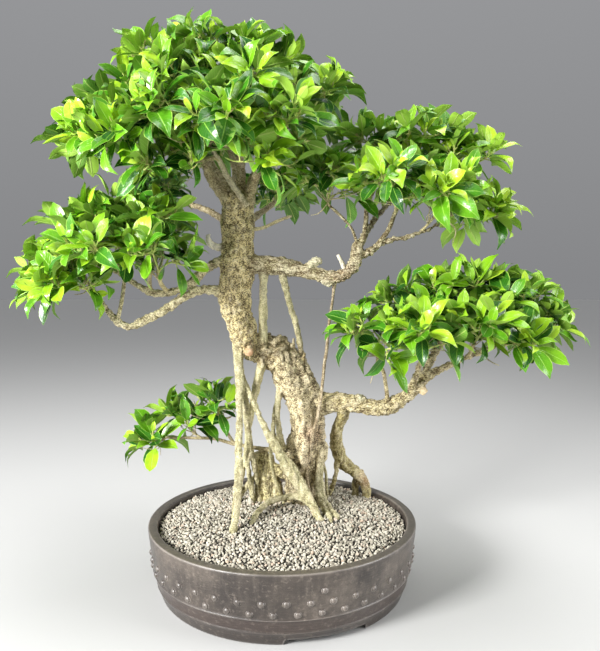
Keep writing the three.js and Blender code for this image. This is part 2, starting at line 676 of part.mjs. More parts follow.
// The bed's top is a mounded disc of uneven rings. Its edge and underside follow the pot.
function makeGritBed() {
  const draw = seededDraws(GRIT_SEED);
  const corners = [];
  for (let k = 0; k < POT_SIDES; k += 1) {
    corners.push(turnFromFront(POT_TURN + (360 * k) / POT_SIDES));
  }
  const vertices = [[0, 0, gritHeight(0, 0)]];
  for (let ring = 1; ring <= GRIT_RINGS; ring += 1) {
    const radius = GRIT_RADIUS * (ring / GRIT_RINGS) ** GRIT_RING_SPACING;
    const edge = ring === GRIT_RINGS;
    corners.forEach((angle) => {
      const turn = (2 * draw() - 1) * GRIT_JITTER + (ring % 2) * (Math.PI / POT_SIDES);
      const turned = edge ? angle : angle + turn;
      const relief = edge ? 0 : (2 * draw() - 1) * GRIT_RELIEF;
      const x = radius * Math.cos(turned);
      const y = radius * Math.sin(turned);
      vertices.push([x, y, gritHeight(x, y) + relief]);
    });
  }
  const baseRadius = innerRadiusAt(GRIT_UNDERSIDE) - GAP;
  corners.forEach((angle) => {
    vertices.push([baseRadius * Math.cos(angle), baseRadius * Math.sin(angle), GRIT_UNDERSIDE]);
  });
  const triangles = [];
  for (let k = 0; k < POT_SIDES; k += 1) {
    triangles.push([0, 1 + k, 1 + ((k + 1) % POT_SIDES)]);
  }
  for (let ring = 0; ring < GRIT_RINGS; ring += 1) {
    for (let k = 0; k < POT_SIDES; k += 1) {
      const a = 1 + ring * POT_SIDES + k;
      const b = 1 + ring * POT_SIDES + ((k + 1) % POT_SIDES);
      triangles.push([a, a + POT_SIDES, b + POT_SIDES], [a, b + POT_SIDES, b]);
    }
  }
  const centre = vertices.length;
  vertices.push([0, 0, GRIT_UNDERSIDE]);
  const lastRing = 1 + GRIT_RINGS * POT_SIDES;
  for (let k = 0; k < POT_SIDES; k += 1) {
    triangles.push([centre, lastRing + ((k + 1) % POT_SIDES), lastRing + k]);
  }
  return solidFromTriangles(vertices, triangles);
}

function pebble([x, y, length, turn]) {
  const geometry = new THREE.IcosahedronGeometry(0.5, 0);
  geometry.scale(length, length * PEBBLE_BREADTH, length * PEBBLE_DEPTH);
  geometry.rotateZ(THREE.MathUtils.degToRad(turn));
  geometry.translate(x, y, gritHeight(x, y) + length * PEBBLE_RISE);
  return solidFromGeometry(geometry);
}

function makeGrit(rootHoles) {
  const pocketSize = SCREEN_SIZE + 2 * GAP;
  const pocket = new THREE.BoxGeometry(pocketSize, pocketSize, 2 * (SCREEN_THICKNESS + SEAT_GAP + GAP));
  pocket.translate(0, 0, FLOOR_TOP);
  const bed = wasm.Manifold.union([makeGritBed(), ...PEBBLES.map(pebble)]);
  return bed.subtract(wasm.Manifold.union([solidFromGeometry(pocket), ...rootHoles]));
}

// The wood

function limbPoints(name) {
  return LIMBS[name].line.map(([x, y, z]) => new THREE.Vector3(x, y, z));
}

function limbDiameters(name) {
  return LIMBS[name].line.map((row) => row[3]);
}

function limbSolid(name) {
  return tube(limbPoints(name), limbDiameters(name), LIMBS[name].sides);
}

// The hole that a limb stands in: the same tube, wider by the gap and a little longer
function limbHole(name) {
  const points = limbPoints(name);
  const { sides } = LIMBS[name];
  const widening = (2 * GAP) / Math.cos(Math.PI / sides);
  const last = points.length - 1;
  const along = points[last].clone().sub(points[last - 1]).normalize();
  points[last].addScaledVector(along, GAP);
  return tube(points, limbDiameters(name).map((d) => d + widening), sides);
}

// A point part of the way along a limb, with the limb's direction and diameter there
function alongLimb(name, share) {
  const points = limbPoints(name);
  const diameters = limbDiameters(name);
  const lengths = points.slice(1).map((p, i) => p.distanceTo(points[i]));
  let rest = share * lengths.reduce((sum, length) => sum + length, 0);
  let i = 0;
  while (i < lengths.length - 1 && rest > lengths[i]) {
    rest -= lengths[i];
    i += 1;
  }
  const part = Math.min(rest / lengths[i], 1);
  return {
    point: points[i].clone().lerp(points[i + 1], part),
    along: points[i + 1].clone().sub(points[i]).normalize(),
    diameter: diameters[i] + (diameters[i + 1] - diameters[i]) * part,
  };
}

function curvePoints(start, startDirection, end, endDirection, steps) {
  const reach = start.distanceTo(end) * CURVE_REACH;
  const curve = new THREE.CubicBezierCurve3(
    start,
    start.clone().addScaledVector(startDirection, reach),
    end.clone().addScaledVector(endDirection, -reach),
    end,
  );
  return curve.getPoints(steps);
}

// How a spray is carried: the bare twig from the limb to the spray's foot, and the foot's direction
function sprayTwig([, limb, share, middle, radii]) {
  const root = alongLimb(limb, share);
  const centre = new THREE.Vector3(...middle);
  const towards = centre.clone().sub(root.point);
  const distance = towards.length();
  const reach = Math.max(FOOT_NEAREST, 1 - (FOOT_SETBACK * (radii[0] + radii[2])) / distance);
  const foot = root.point.clone().addScaledVector(towards, reach).addScaledVector(UP, -FOOT_DROP);
  const footDirection = towards.clone().normalize();
  const startDirection = root.along.clone().lerp(footDirection, SLANT)
    .addScaledVector(UP, SLANT_LIFT).normalize();
  return { root, centre, foot, footDirection, startDirection };
}

function twigSolid(spray) {
  const { root, foot, footDirection, startDirection } = sprayTwig(spray);
  const start = root.point.clone().addScaledVector(root.along, -TWIG_OVERLAP);
  const points = curvePoints(start, startDirection, foot, footDirection, 2);
  const thick = Math.min(root.diameter * TWIG_SHARE, TWIG_THICKEST);
  const thin = Math.min(thick, TWIG_END);
  return tube(points, [thick, (thick + thin) / 2, thin], 3, [null, null, footDirection]);
}

function makeWood() {
  const limbs = Object.keys(LIMBS).map(limbSolid);
  return wasm.Manifold.union([...limbs, ...SPRAYS.map(twigSolid)]);
}

// The leaves

const GOLDEN_ANGLE = Math.PI * (3 - Math.sqrt(5));
const GOLDEN_SHARE = (Math.sqrt(5) - 1) / 2;

// Where the k-th leafy twig end of a spray lies: the first points away from the limb, the
// next ones spread evenly round it over the spray's outside
function twigEnd({ centre, foot, footDirection }, radii, k) {
  const outward = footDirection.clone().addScaledVector(UP, FAN_LIFT).normalize();
  const upward = UP.clone().addScaledVector(outward, -UP.dot(outward)).normalize();
  const sideways = outward.clone().cross(upward);
  const tilt = Math.acos(1 - FAN_REACH * ((k * GOLDEN_SHARE) % 1));
  const round = (k - 1) * GOLDEN_ANGLE;
  const spread = outward.clone().multiplyScalar(Math.cos(tilt))
    .addScaledVector(upward, Math.sin(tilt) * Math.cos(round))
    .addScaledVector(sideways, Math.sin(tilt) * Math.sin(round));
  const point = centre.clone().add(spread.clone().multiply(new THREE.Vector3(...radii)));
  const straight = point.clone().sub(foot).normalize();
  const direction = spread.clone().multiplyScalar(END_SPREAD).addScaledVector(UP, END_LIFT)
    .addScaledVector(straight, END_STRAIGHTNESS).normalize();
  return { point, direction };
}

// The rings of a leaf from its stalk's seat: left edge, midrib top, right edge, midrib underside
function leafRings(seat, outwards, normal, length) {
  const left = normal.clone().cross(outwards).normalize();
  const width = (LEAF_WIDTH / 2) * (length / LEAF_LENGTH);
  const middleAt = (s) => seat.clone()
    .addScaledVector(outwards, length * s * (1 - LEAF_DRAW_IN * s))
    .addScaledVector(normal, -length * LEAF_SAG * s * s);
  const rings = LEAF_STATIONS.map(([s, share]) => {
    const middle = middleAt(s);
    const lift = normal.clone().addScaledVector(outwards, 2 * LEAF_SAG * s).normalize();
    const edge = (sign) => middle.clone()
      .addScaledVector(left, sign * width * share)
      .addScaledVector(lift, LEAF_FOLD * width * share);
    return [
      edge(1),
      middle.clone().addScaledVector(lift, LEAF_THICKNESS / 2),
      edge(-1),
      middle.clone().addScaledVector(lift, -LEAF_THICKNESS / 2),
    ];
  });
  return { rings, tip: middleAt(1) };
}

// The triangles between two rings of four. Both faces of the blade are split alike.
function bladeBand(a, b) {
  const triangles = [];
  for (let k = 0; k < 4; k += 1) {
    const next = (k + 1) % 4;
    if (k % 2 === 0) {
      triangles.push([a[k], a[next], b[next]], [a[k], b[next], b[k]]);
    } else {
      triangles.push([a[k], a[next], b[k]], [a[next], b[next], b[k]]);
    }
  }
  return triangles;
}

function addLeaf(vertices, triangles, seatCorners, leaf) {
  let previous = seatCorners;
  leaf.rings.forEach((ring) => {
    const numbers = ring.map((point) => vertices.push(point.toArray()) - 1);
    triangles.push(...bladeBand(previous, numbers));
    previous = numbers;
  });
  const tip = vertices.push(leaf.tip.toArray()) - 1;
  for (let k = 0; k < 4; k += 1) {
    triangles.push([previous[k], previous[(k + 1) % 4], tip]);
  }
}

function leafAlone(corners, leaf) {
  const vertices = corners.map((point) => point.toArray());
  const triangles = [[0, 2, 1], [0, 3, 2]];
  addLeaf(vertices, triangles, [0, 1, 2, 3], leaf);
  return solidFromTriangles(vertices, triangles);
}

// The rings of one leafy twig end: its stem's start and middle, and then the three-sided hub,
// which has two levels of three faces. Each face carries a leaf.
function twigEndRings(start, startDirection, stemDiameter, end, spin) {
  const hub = [-2, -1, 0].map((level) => end.point.clone().addScaledVector(end.direction, level * HUB_LEVEL));
  const middle = curvePoints(start, startDirection, hub[0], end.direction, 2)[1];
  const points = [start, middle, ...hub];
  const wide = 2 * HUB_RADIUS;
  const diameters = [stemDiameter, stemDiameter, wide, wide, wide];
  const directions = [startDirection, null, end.direction, end.direction, end.direction];
  return { middle, rings: ringsAlong(points, diameters, 3, directions, spin) };
}

function plannedLeaves(end, rings, draw) {
  const leaves = [];
  for (let level = 0; level < 2; level += 1) {
    const lower = rings[FIRST_HUB_RING + level];
    const upper = rings[FIRST_HUB_RING + level + 1];
    for (let k = 0; k < 3; k += 1) {
      const next = (k + 1) % 3;
      const corners = [lower[next], upper[next], upper[k], lower[k]];
      const seat = corners.reduce((sum, p) => sum.add(p), new THREE.Vector3()).multiplyScalar(0.25);
      const middle = end.point.clone().addScaledVector(end.direction, (level - 1.5) * HUB_LEVEL);
      const swing = level * UPPER_LEAF_SWING + (draw() - 0.5) * LEAF_SWING_RANGE;
      const radial = seat.clone().sub(middle).normalize().applyAxisAngle(end.direction, swing);
      const rise = THREE.MathUtils.degToRad(LEAF_RISES[level] + (draw() - 0.5) * LEAF_RISE_RANGE);
      const outwards = radial.clone().multiplyScalar(Math.cos(rise))
        .addScaledVector(end.direction, Math.sin(rise));
      const normal = radial.clone().multiplyScalar(-Math.sin(rise))
        .addScaledVector(end.direction, Math.cos(rise));
      const length = LEAF_LENGTH * (SHORTEST_LEAF + (LONGEST_LEAF - SHORTEST_LEAF) * draw());
      leaves.push({ level, k, corners, ...leafRings(seat, outwards, normal, length) });
    }
  }
  return leaves;
}

function isClear(solid, others) {
  return others.every((other) => solid.minGap(other, CLEARANCE) >= CLEARANCE - 0.01);
}

// One leafy twig end with its stem, as one closed mesh
function twigEndSolid(rings, end, leaves, firstHubRing) {
  const vertices = rings.flat().map((p) => p.toArray());
  const triangles = [[0, 2, 1]];
  for (let i = 0; i + 1 < rings.length; i += 1) {
    for (let k = 0; k < 3; k += 1) {
      const a = i * 3 + k;
      const b = i * 3 + ((k + 1) % 3);
      const leaf = leaves.find((candidate) => candidate.level === i - firstHubRing && candidate.k === k);
      if (leaf) {
        addLeaf(vertices, triangles, [b, b + 3, a + 3, a], leaf);
      } else {
        triangles.push([a, b, b + 3], [a, b + 3, a + 3]);
      }
    }
  }
  const bud = vertices.push(end.point.clone().addScaledVector(end.direction, BUD_LENGTH).toArray()) - 1;
  const last = (rings.length - 1) * 3;
  for (let k = 0; k < 3; k += 1) {
    triangles.push([last + k, last + ((k + 1) % 3), bud]);
  }
  return solidFromTriangles(vertices, triangles);
}

function nearbySolids(point, placed) {
  return placed.filter((other) => {
    const { min, max } = other.boundingBox();
    return point.toArray().every((value, axis) => value > min[axis] - NEIGHBOUR_REACH
      && value < max[axis] + NEIGHBOUR_REACH);
  });
}

// A twig end turned in steps until most of its leaves are clear. A leaf that can't be is left out.
function bestTwigEnd(start, startDirection, stemDiameter, end, seed, placed) {
  const neighbours = nearbySolids(end.point, placed);
  let best = null;
  for (let turn = 0; turn < SPIN_TRIES; turn += 1) {
    const draw = seededDraws(seed);
    const spin = draw() * 2 * Math.PI + turn * SPIN_STEP;
    const { middle, rings } = twigEndRings(start, startDirection, stemDiameter, end, spin);
    const bare = twigEndSolid(rings.slice(1), end, [], FIRST_HUB_RING - 1);
    if (!isClear(bare, neighbours)) {
      continue;
    }
    const planned = plannedLeaves(end, rings, draw);
    const leaves = planned.filter((leaf) => isClear(leafAlone(leaf.corners, leaf), neighbours));
    if (best === null || leaves.length > best.leaves.length) {
      best = { middle, leaves, solid: twigEndSolid(rings, end, leaves, FIRST_HUB_RING) };
    }
    if (leaves.length === planned.length) {
      break;
    }
  }
  return best;
}

// The first leafy end grows on from the twig's foot, and the next ones fork from its stem
function makeSpray(spray, number, placed) {
  const [, , , , radii, twigEnds] = spray;
  const twig = sprayTwig(spray);
  const foot = twig.foot.clone().addScaledVector(twig.footDirection, SEAT_GAP);
  const solids = [];
  let fork = null;
  for (let k = 0; k < twigEnds; k += 1) {
    const end = twigEnd(twig, radii, k);
    const start = fork === null ? foot : fork;
    const startDirection = fork === null ? twig.footDirection : end.point.clone().sub(fork).normalize();
    const diameter = fork === null ? STEM_DIAMETER : FORK_DIAMETER;
    const seed = SPRAY_SEED * (number + 1) + TWIG_END_SEED * (k + 1);
    const found = bestTwigEnd(start, startDirection, diameter, end, seed, [...placed, ...solids]);
    if (found) {
      solids.push(found.solid);
      fork = fork === null ? found.middle : fork;
    }
  }
  return wasm.Manifold.union(solids);
}

// The whole tree in its pot

const wood = makeWood();
const rootHoles = Object.keys(LIMBS)
  .filter((name) => LIMBS[name].line.some(([, , z]) => z < GRIT_EDGE_HEIGHT + 2 * GRIT_MOUND))
  .map(limbHole);

const bonsai = new THREE.Group();
bonsai.add(meshFromSolid("pot", makePot(), 0x6b6058, 0.8));
bonsai.add(meshFromSolid("drain_screen", makeScreen(), 0x1f2a22, 0.6));
bonsai.add(meshFromSolid("grit", makeGrit(rootHoles), 0x8f8a84, 0.9));
bonsai.add(meshFromSolid("wood", wood, 0xb3a27e, 0.75));

const placed = [wood];
SPRAYS.forEach((spray, number) => {
  const solid = makeSpray(spray, number, placed);
  placed.push(solid);
  bonsai.add(meshFromSolid(`spray_${spray[0]}`, solid, 0x3f9a24, 0.35));
});

const extent = new THREE.Box3().setFromObject(bonsai);
const middle = extent.getCenter(new THREE.Vector3());
bonsai.position.set(-middle.x, -middle.y, 0);

export default bonsai;
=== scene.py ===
# %% [markdown]
# # A Chinese banyan bonsai in a round clay pot
#
# The tree is about 84 cm high. A thick trunk leans over a second, broken one, and both stand on
# aerial roots that have grown down into the grit. Four wide tiers of glossy leaves sit round it,
# with a small one low on the left.
#
# A tree can be sculpted, grown by a rule or built along its own middle lines. Here the middle
# lines come first, because the solid model uses the same ones, and all finer bark, grit and
# leaves are then laid round them by rule. Nothing has to be fitted afterwards.

import math
import random

import bpy
import numpy as np
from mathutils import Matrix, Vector, noise


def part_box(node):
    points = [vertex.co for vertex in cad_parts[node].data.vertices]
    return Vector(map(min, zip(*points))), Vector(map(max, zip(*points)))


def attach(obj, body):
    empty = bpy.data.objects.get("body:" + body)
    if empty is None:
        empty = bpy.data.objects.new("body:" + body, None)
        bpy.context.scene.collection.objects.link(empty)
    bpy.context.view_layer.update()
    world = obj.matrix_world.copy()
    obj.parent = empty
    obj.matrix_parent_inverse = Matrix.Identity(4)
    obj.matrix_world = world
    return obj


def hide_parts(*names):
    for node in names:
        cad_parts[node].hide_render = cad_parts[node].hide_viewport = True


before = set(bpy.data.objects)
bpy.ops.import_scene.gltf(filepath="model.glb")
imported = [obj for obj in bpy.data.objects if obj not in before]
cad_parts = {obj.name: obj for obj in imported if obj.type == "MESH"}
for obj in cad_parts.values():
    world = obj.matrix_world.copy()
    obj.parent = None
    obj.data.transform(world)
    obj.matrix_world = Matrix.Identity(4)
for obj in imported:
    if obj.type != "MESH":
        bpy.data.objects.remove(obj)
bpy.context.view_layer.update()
print("nodes to dress:", len(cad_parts))

# %% Work in millimetres round the middle of the pot
MM = 0.001
pot_low, pot_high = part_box("pot")
POT_MIDDLE = np.array([(pot_low.x + pot_high.x) / 2, (pot_low.y + pot_high.y) / 2, 0])


def in_frame(points):
    """Millimetres round the pot's middle, turned into metres in the shared frame."""
    return np.asarray(points, float) * MM + POT_MIDDLE


print("middle of the pot, in metres:", POT_MIDDLE.round(4))

# %% [markdown]
# ## The camera
#
# The picture was taken from nearly a metre away, a little above the middle of the tree and
# tilted slightly down. A lens of 36 mm on a 36 mm wide sensor fills the upright picture.

# %% Place the camera
CAMERA_PLACE = (26.3, -967, 463)
CAMERA_PITCH = 4.32
PICTURE_HEIGHT = 651
FOCAL_PIXELS = 650

camera_data = bpy.data.cameras.new("camera")
camera_data.sensor_width = 36
camera_data.lens = camera_data.sensor_width * FOCAL_PIXELS / PICTURE_HEIGHT
camera = bpy.data.objects.new("camera", camera_data)
camera.location = in_frame(CAMERA_PLACE)
camera.rotation_euler = (math.radians(90 - CAMERA_PITCH), 0, 0)
bpy.context.collection.objects.link(camera)
bpy.context.scene.camera = camera
print("lens in mm:", round(camera_data.lens, 2))

# %% [markdown]
# ## Small tools for meshes
#
# Every piece is built as lists of points and faces. The helpers below turn such lists into a
# Blender mesh, keep values on its points, and give a piece its place in the model: the body it
# moves with, and the plain solid that it replaces, which is hidden.

# %% Make a mesh from points and faces, with values stored on its points
def make_mesh(name, points, faces, smooth=True):
    mesh = bpy.data.meshes.new(name)
    mesh.from_pydata(in_frame(points).tolist(), [], faces)
    mesh.polygons.foreach_set("use_smooth", [smooth] * len(mesh.polygons))
    mesh.update()
    return mesh


def store_values(mesh, name, values):
    """Keep one number for each point of the mesh, for a material to read."""
    attribute = mesh.attributes.new(name, "FLOAT", "POINT")
    attribute.data.foreach_set("value", np.asarray(values, np.float32))


def store_colours(mesh, name, colours):
    attribute = mesh.attributes.new(name, "FLOAT_COLOR", "POINT")
    opaque = np.ones((len(colours), 4), np.float32)
    opaque[:, :3] = colours
    attribute.data.foreach_set("color", opaque.ravel())


# %% Put a piece in its place
def add_piece(name, mesh, node):
    piece = bpy.data.objects.new(name, mesh)
    bpy.context.collection.objects.link(piece)
    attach(piece, "root")
    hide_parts(node)


# %% Join several lists of points and faces into one
def join_parts(parts):
    """parts is a list of (points, faces). Returns one list of each."""
    points = []
    faces = []
    count = 0
    for part_points, part_faces in parts:
        points.append(np.asarray(part_points, float))
        faces.extend([tuple(count + corner for corner in face) for face in part_faces])
        count += len(part_points)
    return np.concatenate(points), faces


# %% List the faces of a tube, from one closed end to the other
def tube_faces(rings, sides):
    """Each ring has its points in turn, and the rings follow one another."""
    faces = [tuple(reversed(range(sides)))]
    for ring in range(rings - 1):
        low = ring * sides
        for k in range(sides):
            after = (k + 1) % sides
            faces.append((low + k, low + after, low + sides + after, low + sides + k))
    last = (rings - 1) * sides
    faces.append(tuple(range(last, last + sides)))
    return faces


# %% [markdown]
# ## Small tools for materials
#
# Each finish is a node tree round one Principled shader. The helpers below add nodes, fill in
# their sockets and wire them, and lay tones over one another like thin coats of paint. With them a
# material reads as a short recipe.

# %% Describe colours the way a screen shows them
def tone(red, green, blue):
    """A screen colour from 0 to 255, as the linear numbers that shaders work in."""
    shares = np.array([red, green, blue]) / 255
    linear = np.where(shares > 0.04045, ((shares + 0.055) / 1.055) ** 2.4, shares / 12.92)
    return (*linear.tolist(), 1)


# %% Add nodes to a material
def fill_sockets(material, node, sockets):
    """Wire another node's output to a socket, or write a plain value on it."""
    for key, value in sockets.items():
        if isinstance(value, bpy.types.NodeSocket):
            material.node_tree.links.new(value, node.inputs[key])
        else:
            node.inputs[key].default_value = value


def add_node(material, kind, sockets=None, **settings):
    node = material.node_tree.nodes.new(kind)
    for key, value in settings.items():
        setattr(node, key, value)
    fill_sockets(material, node, sockets or {})
    return node


def new_material(name):
    material = bpy.data.materials.new(name)
    material.use_nodes = True
    return material, material.node_tree.nodes["Principled BSDF"]


# %% Name the few node recipes that every finish needs
def object_place(material):
    return add_node(material, "ShaderNodeTexCoord").outputs["Object"]


def stretched(material, place, height_scale):
    """The same places with their height scaled, for patterns that run upright or level."""
    sockets = {"Vector": place, "Scale": (1, 1, height_scale)}
    return add_node(material, "ShaderNodeMapping", sockets).outputs["Vector"]


def noise_at(material, place, scale, detail=3, roughness=0.5):
    sockets = {"Vector": place, "Scale": scale, "Detail": detail, "Roughness": roughness}
    return add_node(material, "ShaderNodeTexNoise", sockets).outputs["Fac"]


def between(material, value, low, high, out_low=0, out_high=1):
    """The value's place between low and high, held inside them."""
    sockets = {"Value": value, "From Min": low, "From Max": high, "To Min": out_low, "To Max": out_high}
    return add_node(material, "ShaderNodeMapRange", sockets).outputs["Result"]


def times(material, first, second, operation="MULTIPLY"):
    return add_node(material, "ShaderNodeMath", {0: first, 1: second}, operation=operation).outputs[0]


def stored(material, name, output="Fac"):
    return add_node(material, "ShaderNodeAttribute", attribute_name=name).outputs[output]


# %% Mix two colours, lay tones over a colour, and turn a value into a colour
FACTOR, FIRST, SECOND, RESULT = 0, 6, 7, 2


def mixed(material, share, first, second):
    sockets = {FACTOR: share, FIRST: first, SECOND: second}
    return add_node(material, "ShaderNodeMix", sockets, data_type="RGBA").outputs[RESULT]


def layered(material, colour, layers):
    """Each layer: a value, where its tone starts and is full, how much of it then shows, the tone."""
    for value, start, full, share, over in layers:
        colour = mixed(material, between(material, value, start, full, 0, share), colour, tone(*over))
    return colour


def toned_ramp(material, value, tones):
    """tones is a list of values from 0 to 1, each with its tone."""
    ramp = add_node(material, "ShaderNodeValToRGB", {"Fac": value})
    stops = ramp.color_ramp.elements
    while len(stops) < len(tones):
        stops.new(0.5)
    for stop, (place, colour) in zip(stops, tones):
        stop.position = place
        stop.color = tone(*colour)
    return ramp.outputs["Color"]


# %% Lay bumps over one another
def bumps(material, layers):
    """Each layer: its height, what a height of 1 stands for in metres, and its strength."""
    normal = None
    for height, distance, strength in layers:
        sockets = {"Height": height, "Distance": distance, "Strength": strength}
        if normal is not None:
            sockets["Normal"] = normal
        normal = add_node(material, "ShaderNodeBump", sockets).outputs["Normal"]
    return normal


# %% [markdown]
# ## The floor and the light
#
# A plain pale floor and pale surroundings keep the eye on the tree. Three large soft lamps stand
# round it: a key light in front on the left, a little higher than the crown, a weaker one on the
# right, and one high above that edges the leaves. Far out on the left and right the surroundings
# are brighter, which gives the sides of the pot their sheen. Large lamps give the broad white
# sheen that glossy leaves show.

# %% Lay the floor
FLOOR_SIZE = 12.0

floor_corners = [(-1, -1), (1, -1), (1, 1), (-1, 1)]
floor_mesh = bpy.data.meshes.new("floor")
floor_mesh.from_pydata([(x * FLOOR_SIZE, y * FLOOR_SIZE, 0) for x, y in floor_corners], [], [(0, 1, 2, 3)])
floor = bpy.data.objects.new("floor", floor_mesh)
bpy.context.collection.objects.link(floor)
pale_floor, floor_shader = new_material("pale_floor")
floor_shader.inputs["Base Color"].default_value = tone(190, 190, 188)
floor_shader.inputs["Roughness"].default_value = 0.9
floor_mesh.materials.append(pale_floor)

# %% Set the lamps: place in metres, size in metres, power in watts
LAMPS = {
    "key": ((-1.55, -1.35, 1.0), 0.65, 102),
    "fill": ((1.9, -0.7, 0.7), 1.0, 32),
    "edge": ((0.3, 0.2, 2.1), 1.2, 24),
}
LIT_PLACE = Vector((0, 0, 0.45))

for name, (place, size, power) in LAMPS.items():
    lamp_data = bpy.data.lights.new(name, "AREA")
    lamp_data.size = size
    lamp_data.energy = power
    lamp = bpy.data.objects.new(name, lamp_data)
    lamp.location = place
    lamp.rotation_euler = (LIT_PLACE - Vector(place)).to_track_quat("-Z", "Y").to_euler()
    bpy.context.collection.objects.link(lamp)

# %% Make the surroundings: their strength level with the eye, high up, and what the sides add
SKY_LEVEL = 0.275
SKY_HIGH = 0.37
SKY_SIDES = 0.9

surroundings = bpy.data.worlds.new("surroundings")
bpy.context.scene.world = surroundings
surroundings.use_nodes = True
sky_direction = add_node(surroundings, "ShaderNodeTexCoord").outputs["Generated"]
sky_parts = add_node(surroundings, "ShaderNodeSeparateXYZ", {"Vector": sky_direction}).outputs
sky_upwards = between(surroundings, sky_parts["Z"], 0, 0.5, SKY_LEVEL, SKY_HIGH)
sky_sideways = times(surroundings, sky_parts["X"], 0, "ABSOLUTE")
sky_sideways = between(surroundings, sky_sideways, 0.6, 0.85, 0, SKY_SIDES)
fill_sockets(surroundings, surroundings.node_tree.nodes["Background"], {
    "Color": (0.88, 0.89, 0.92, 1),
    "Strength": times(surroundings, sky_upwards, sky_sideways, "ADD"),
})
bpy.context.scene.view_settings.view_transform = "Standard"
print("lamps:", list(LAMPS))

# %% [markdown]
# ## The pot
#
# The real pot is a round drum of unglazed grey-brown clay, turned on a wheel. Its wall leans in
# from a flat, crisp rim to a thin ridge, with two rows of small domed studs above the ridge.
# Below it a darker band lies a little deeper, and then the foot band stands out again. Three
# shallow arches cut the foot band into feet.
#
# A turned outline can be revolved with the Screw modifier. Here it is revolved in code, because
# the foot points have to be lifted where the arches are. The studs are small domes whose feet
# sink into the wall.

# %% Draw the pot's outline, up the outside and down the inside
POT_OUTLINE = [
    (25, 10), (120, 10), (160.5, 10), (163, 7), (164, 1.5), (165.8, 0), (172, 0), (179.4, 0), (181.2, 0.5),
    (182.4, 1.8), (183.4, 4.5), (184.9, 9), (186.5, 13.5), (187.8, 16.6), (188.6, 17.6), (188.8, 18.5),
    (188.7, 19.2), (188.4, 19.8), (188.4, 20.8), (188.9, 24), (190, 29), (191.4, 33.8), (192.2, 35.6),
    (193.2, 36.3), (193.9, 36.9), (194.2, 37.6), (194.1, 38.3), (193.7, 38.9), (193.4, 39.8), (193.5, 42),
    (194.1, 47), (195.2, 55), (196.4, 65), (197.7, 75), (198.9, 85), (199.6, 91), (200, 94.6), (200.1, 97.2),
    (199.8, 98.7), (199, 99.4), (197.6, 99.6), (194, 99.9), (190, 100), (188, 99.7), (187, 98.6),
    (186.4, 96), (185.4, 90), (181.9, 66), (177.7, 37), (175.4, 20.6), (174.2, 18.6), (172, 18), (120, 18),
    (25, 18), (24.4, 17.2), (24.4, 10.8),
]
POT_COLUMNS = 240
FOOT_INSIDE = 160
FOOT_CUTS = (20, 140, 260)
CUT_HALF_WIDTH = 58
CUT_HEIGHT = 8
CUT_SIDE = 3.5
CUT_SIDE_DEGREES = (17, 18, 19, 20, 21)
BESIDE_EVEN_COLUMN = 0.25


def from_front(degrees):
    """The direction that far round to the right of the pot's front."""
    return math.radians(degrees - 90)


def pot_columns():
    """Even columns, with closer ones at the sides of each foot arch."""
    columns = set(np.round(np.arange(POT_COLUMNS) * 360 / POT_COLUMNS, 3))
    for middle in FOOT_CUTS:
        for side in (-1, 1):
            for offset in CUT_SIDE_DEGREES:
                columns.add(round((middle + side * offset) % 360 + BESIDE_EVEN_COLUMN, 3))
    return np.array(sorted(columns))


def arch_height(radius, degrees):
    """How high the foot is cut away there."""
    height = 0
    for middle in FOOT_CUTS:
        turn = math.radians(degrees - middle)
        if math.cos(turn) > 0:
            share = (CUT_HALF_WIDTH - abs(radius * math.sin(turn))) / CUT_SIDE
            share = min(max(share, 0), 1)
            height = max(height, CUT_HEIGHT * share * share * (3 - 2 * share))
    return height


# %% Revolve the outline
def revolve_pot():
    columns = pot_columns()
    points = []
    for degrees in columns:
        turn = from_front(degrees)
        for radius, height in POT_OUTLINE:
            if radius > FOOT_INSIDE and height < CUT_HEIGHT:
                height = max(height, arch_height(radius, degrees))
            points.append((radius * math.cos(turn), radius * math.sin(turn), height))
    rows = len(POT_OUTLINE)
    faces = []
    for column in range(len(columns)):
        after = (column + 1) % len(columns)
        here, next_to = column * rows, after * rows
        for row in range(rows):
            above = (row + 1) % rows
            faces.append((here + row, next_to + row, next_to + above, here + above))
    return points, faces


# %% Shape one domed stud, with the thin flange that pressing it on has left
STUD_STEPS = ((5.7, -1.2), (5.5, 0.1), (5.0, 0.45), (4.5, 0.5), (4.3, 1.0), (3.7, 1.9), (2.7, 2.7),
              (1.3, 3.2))
STUD_TOP = 3.3
STUD_SIDES = 16
UP = np.array([0.0, 0.0, 1.0])
WALL_HEIGHTS = (39, 94)
WALL_RADII = (193.3, 200)


def stud(height, degrees, size):
    """A dome whose foot sinks into the wall. degrees are counted from the pot's front."""
    turn = from_front(degrees)
    outward = np.array([math.cos(turn), math.sin(turn), 0])
    across = np.array([-math.sin(turn), math.cos(turn), 0])
    wall = np.interp(height, WALL_HEIGHTS, WALL_RADII)
    points = []
    for radius, rise in STUD_STEPS:
        for k in range(STUD_SIDES):
            angle = 2 * math.pi * k / STUD_SIDES
            round_place = across * math.cos(angle) + UP * math.sin(angle)
            points.append(outward * (wall + rise * size) + round_place * radius * size + (0, 0, height))
    points.append(outward * (wall + STUD_TOP * size) + (0, 0, height))
    faces = tube_faces(len(STUD_STEPS), STUD_SIDES)[:-1]
    last = (len(STUD_STEPS) - 1) * STUD_SIDES
    for k in range(STUD_SIDES):
        faces.append((last + k, last + (k + 1) % STUD_SIDES, len(points) - 1))
    return points, faces


# %% Set two rows of studs round the wall and finish the pot's shape
STUD_ROWS = ((60, 2.7), (45.5, 7.2))
STUDS_PER_ROW = 40
STUD_SIZES = (0.84, 1.0)
DEGREES_OFF = 0.2
HEIGHT_OFF = 0.5
ODD_STUD = (75.5, 16.9, 0.9)

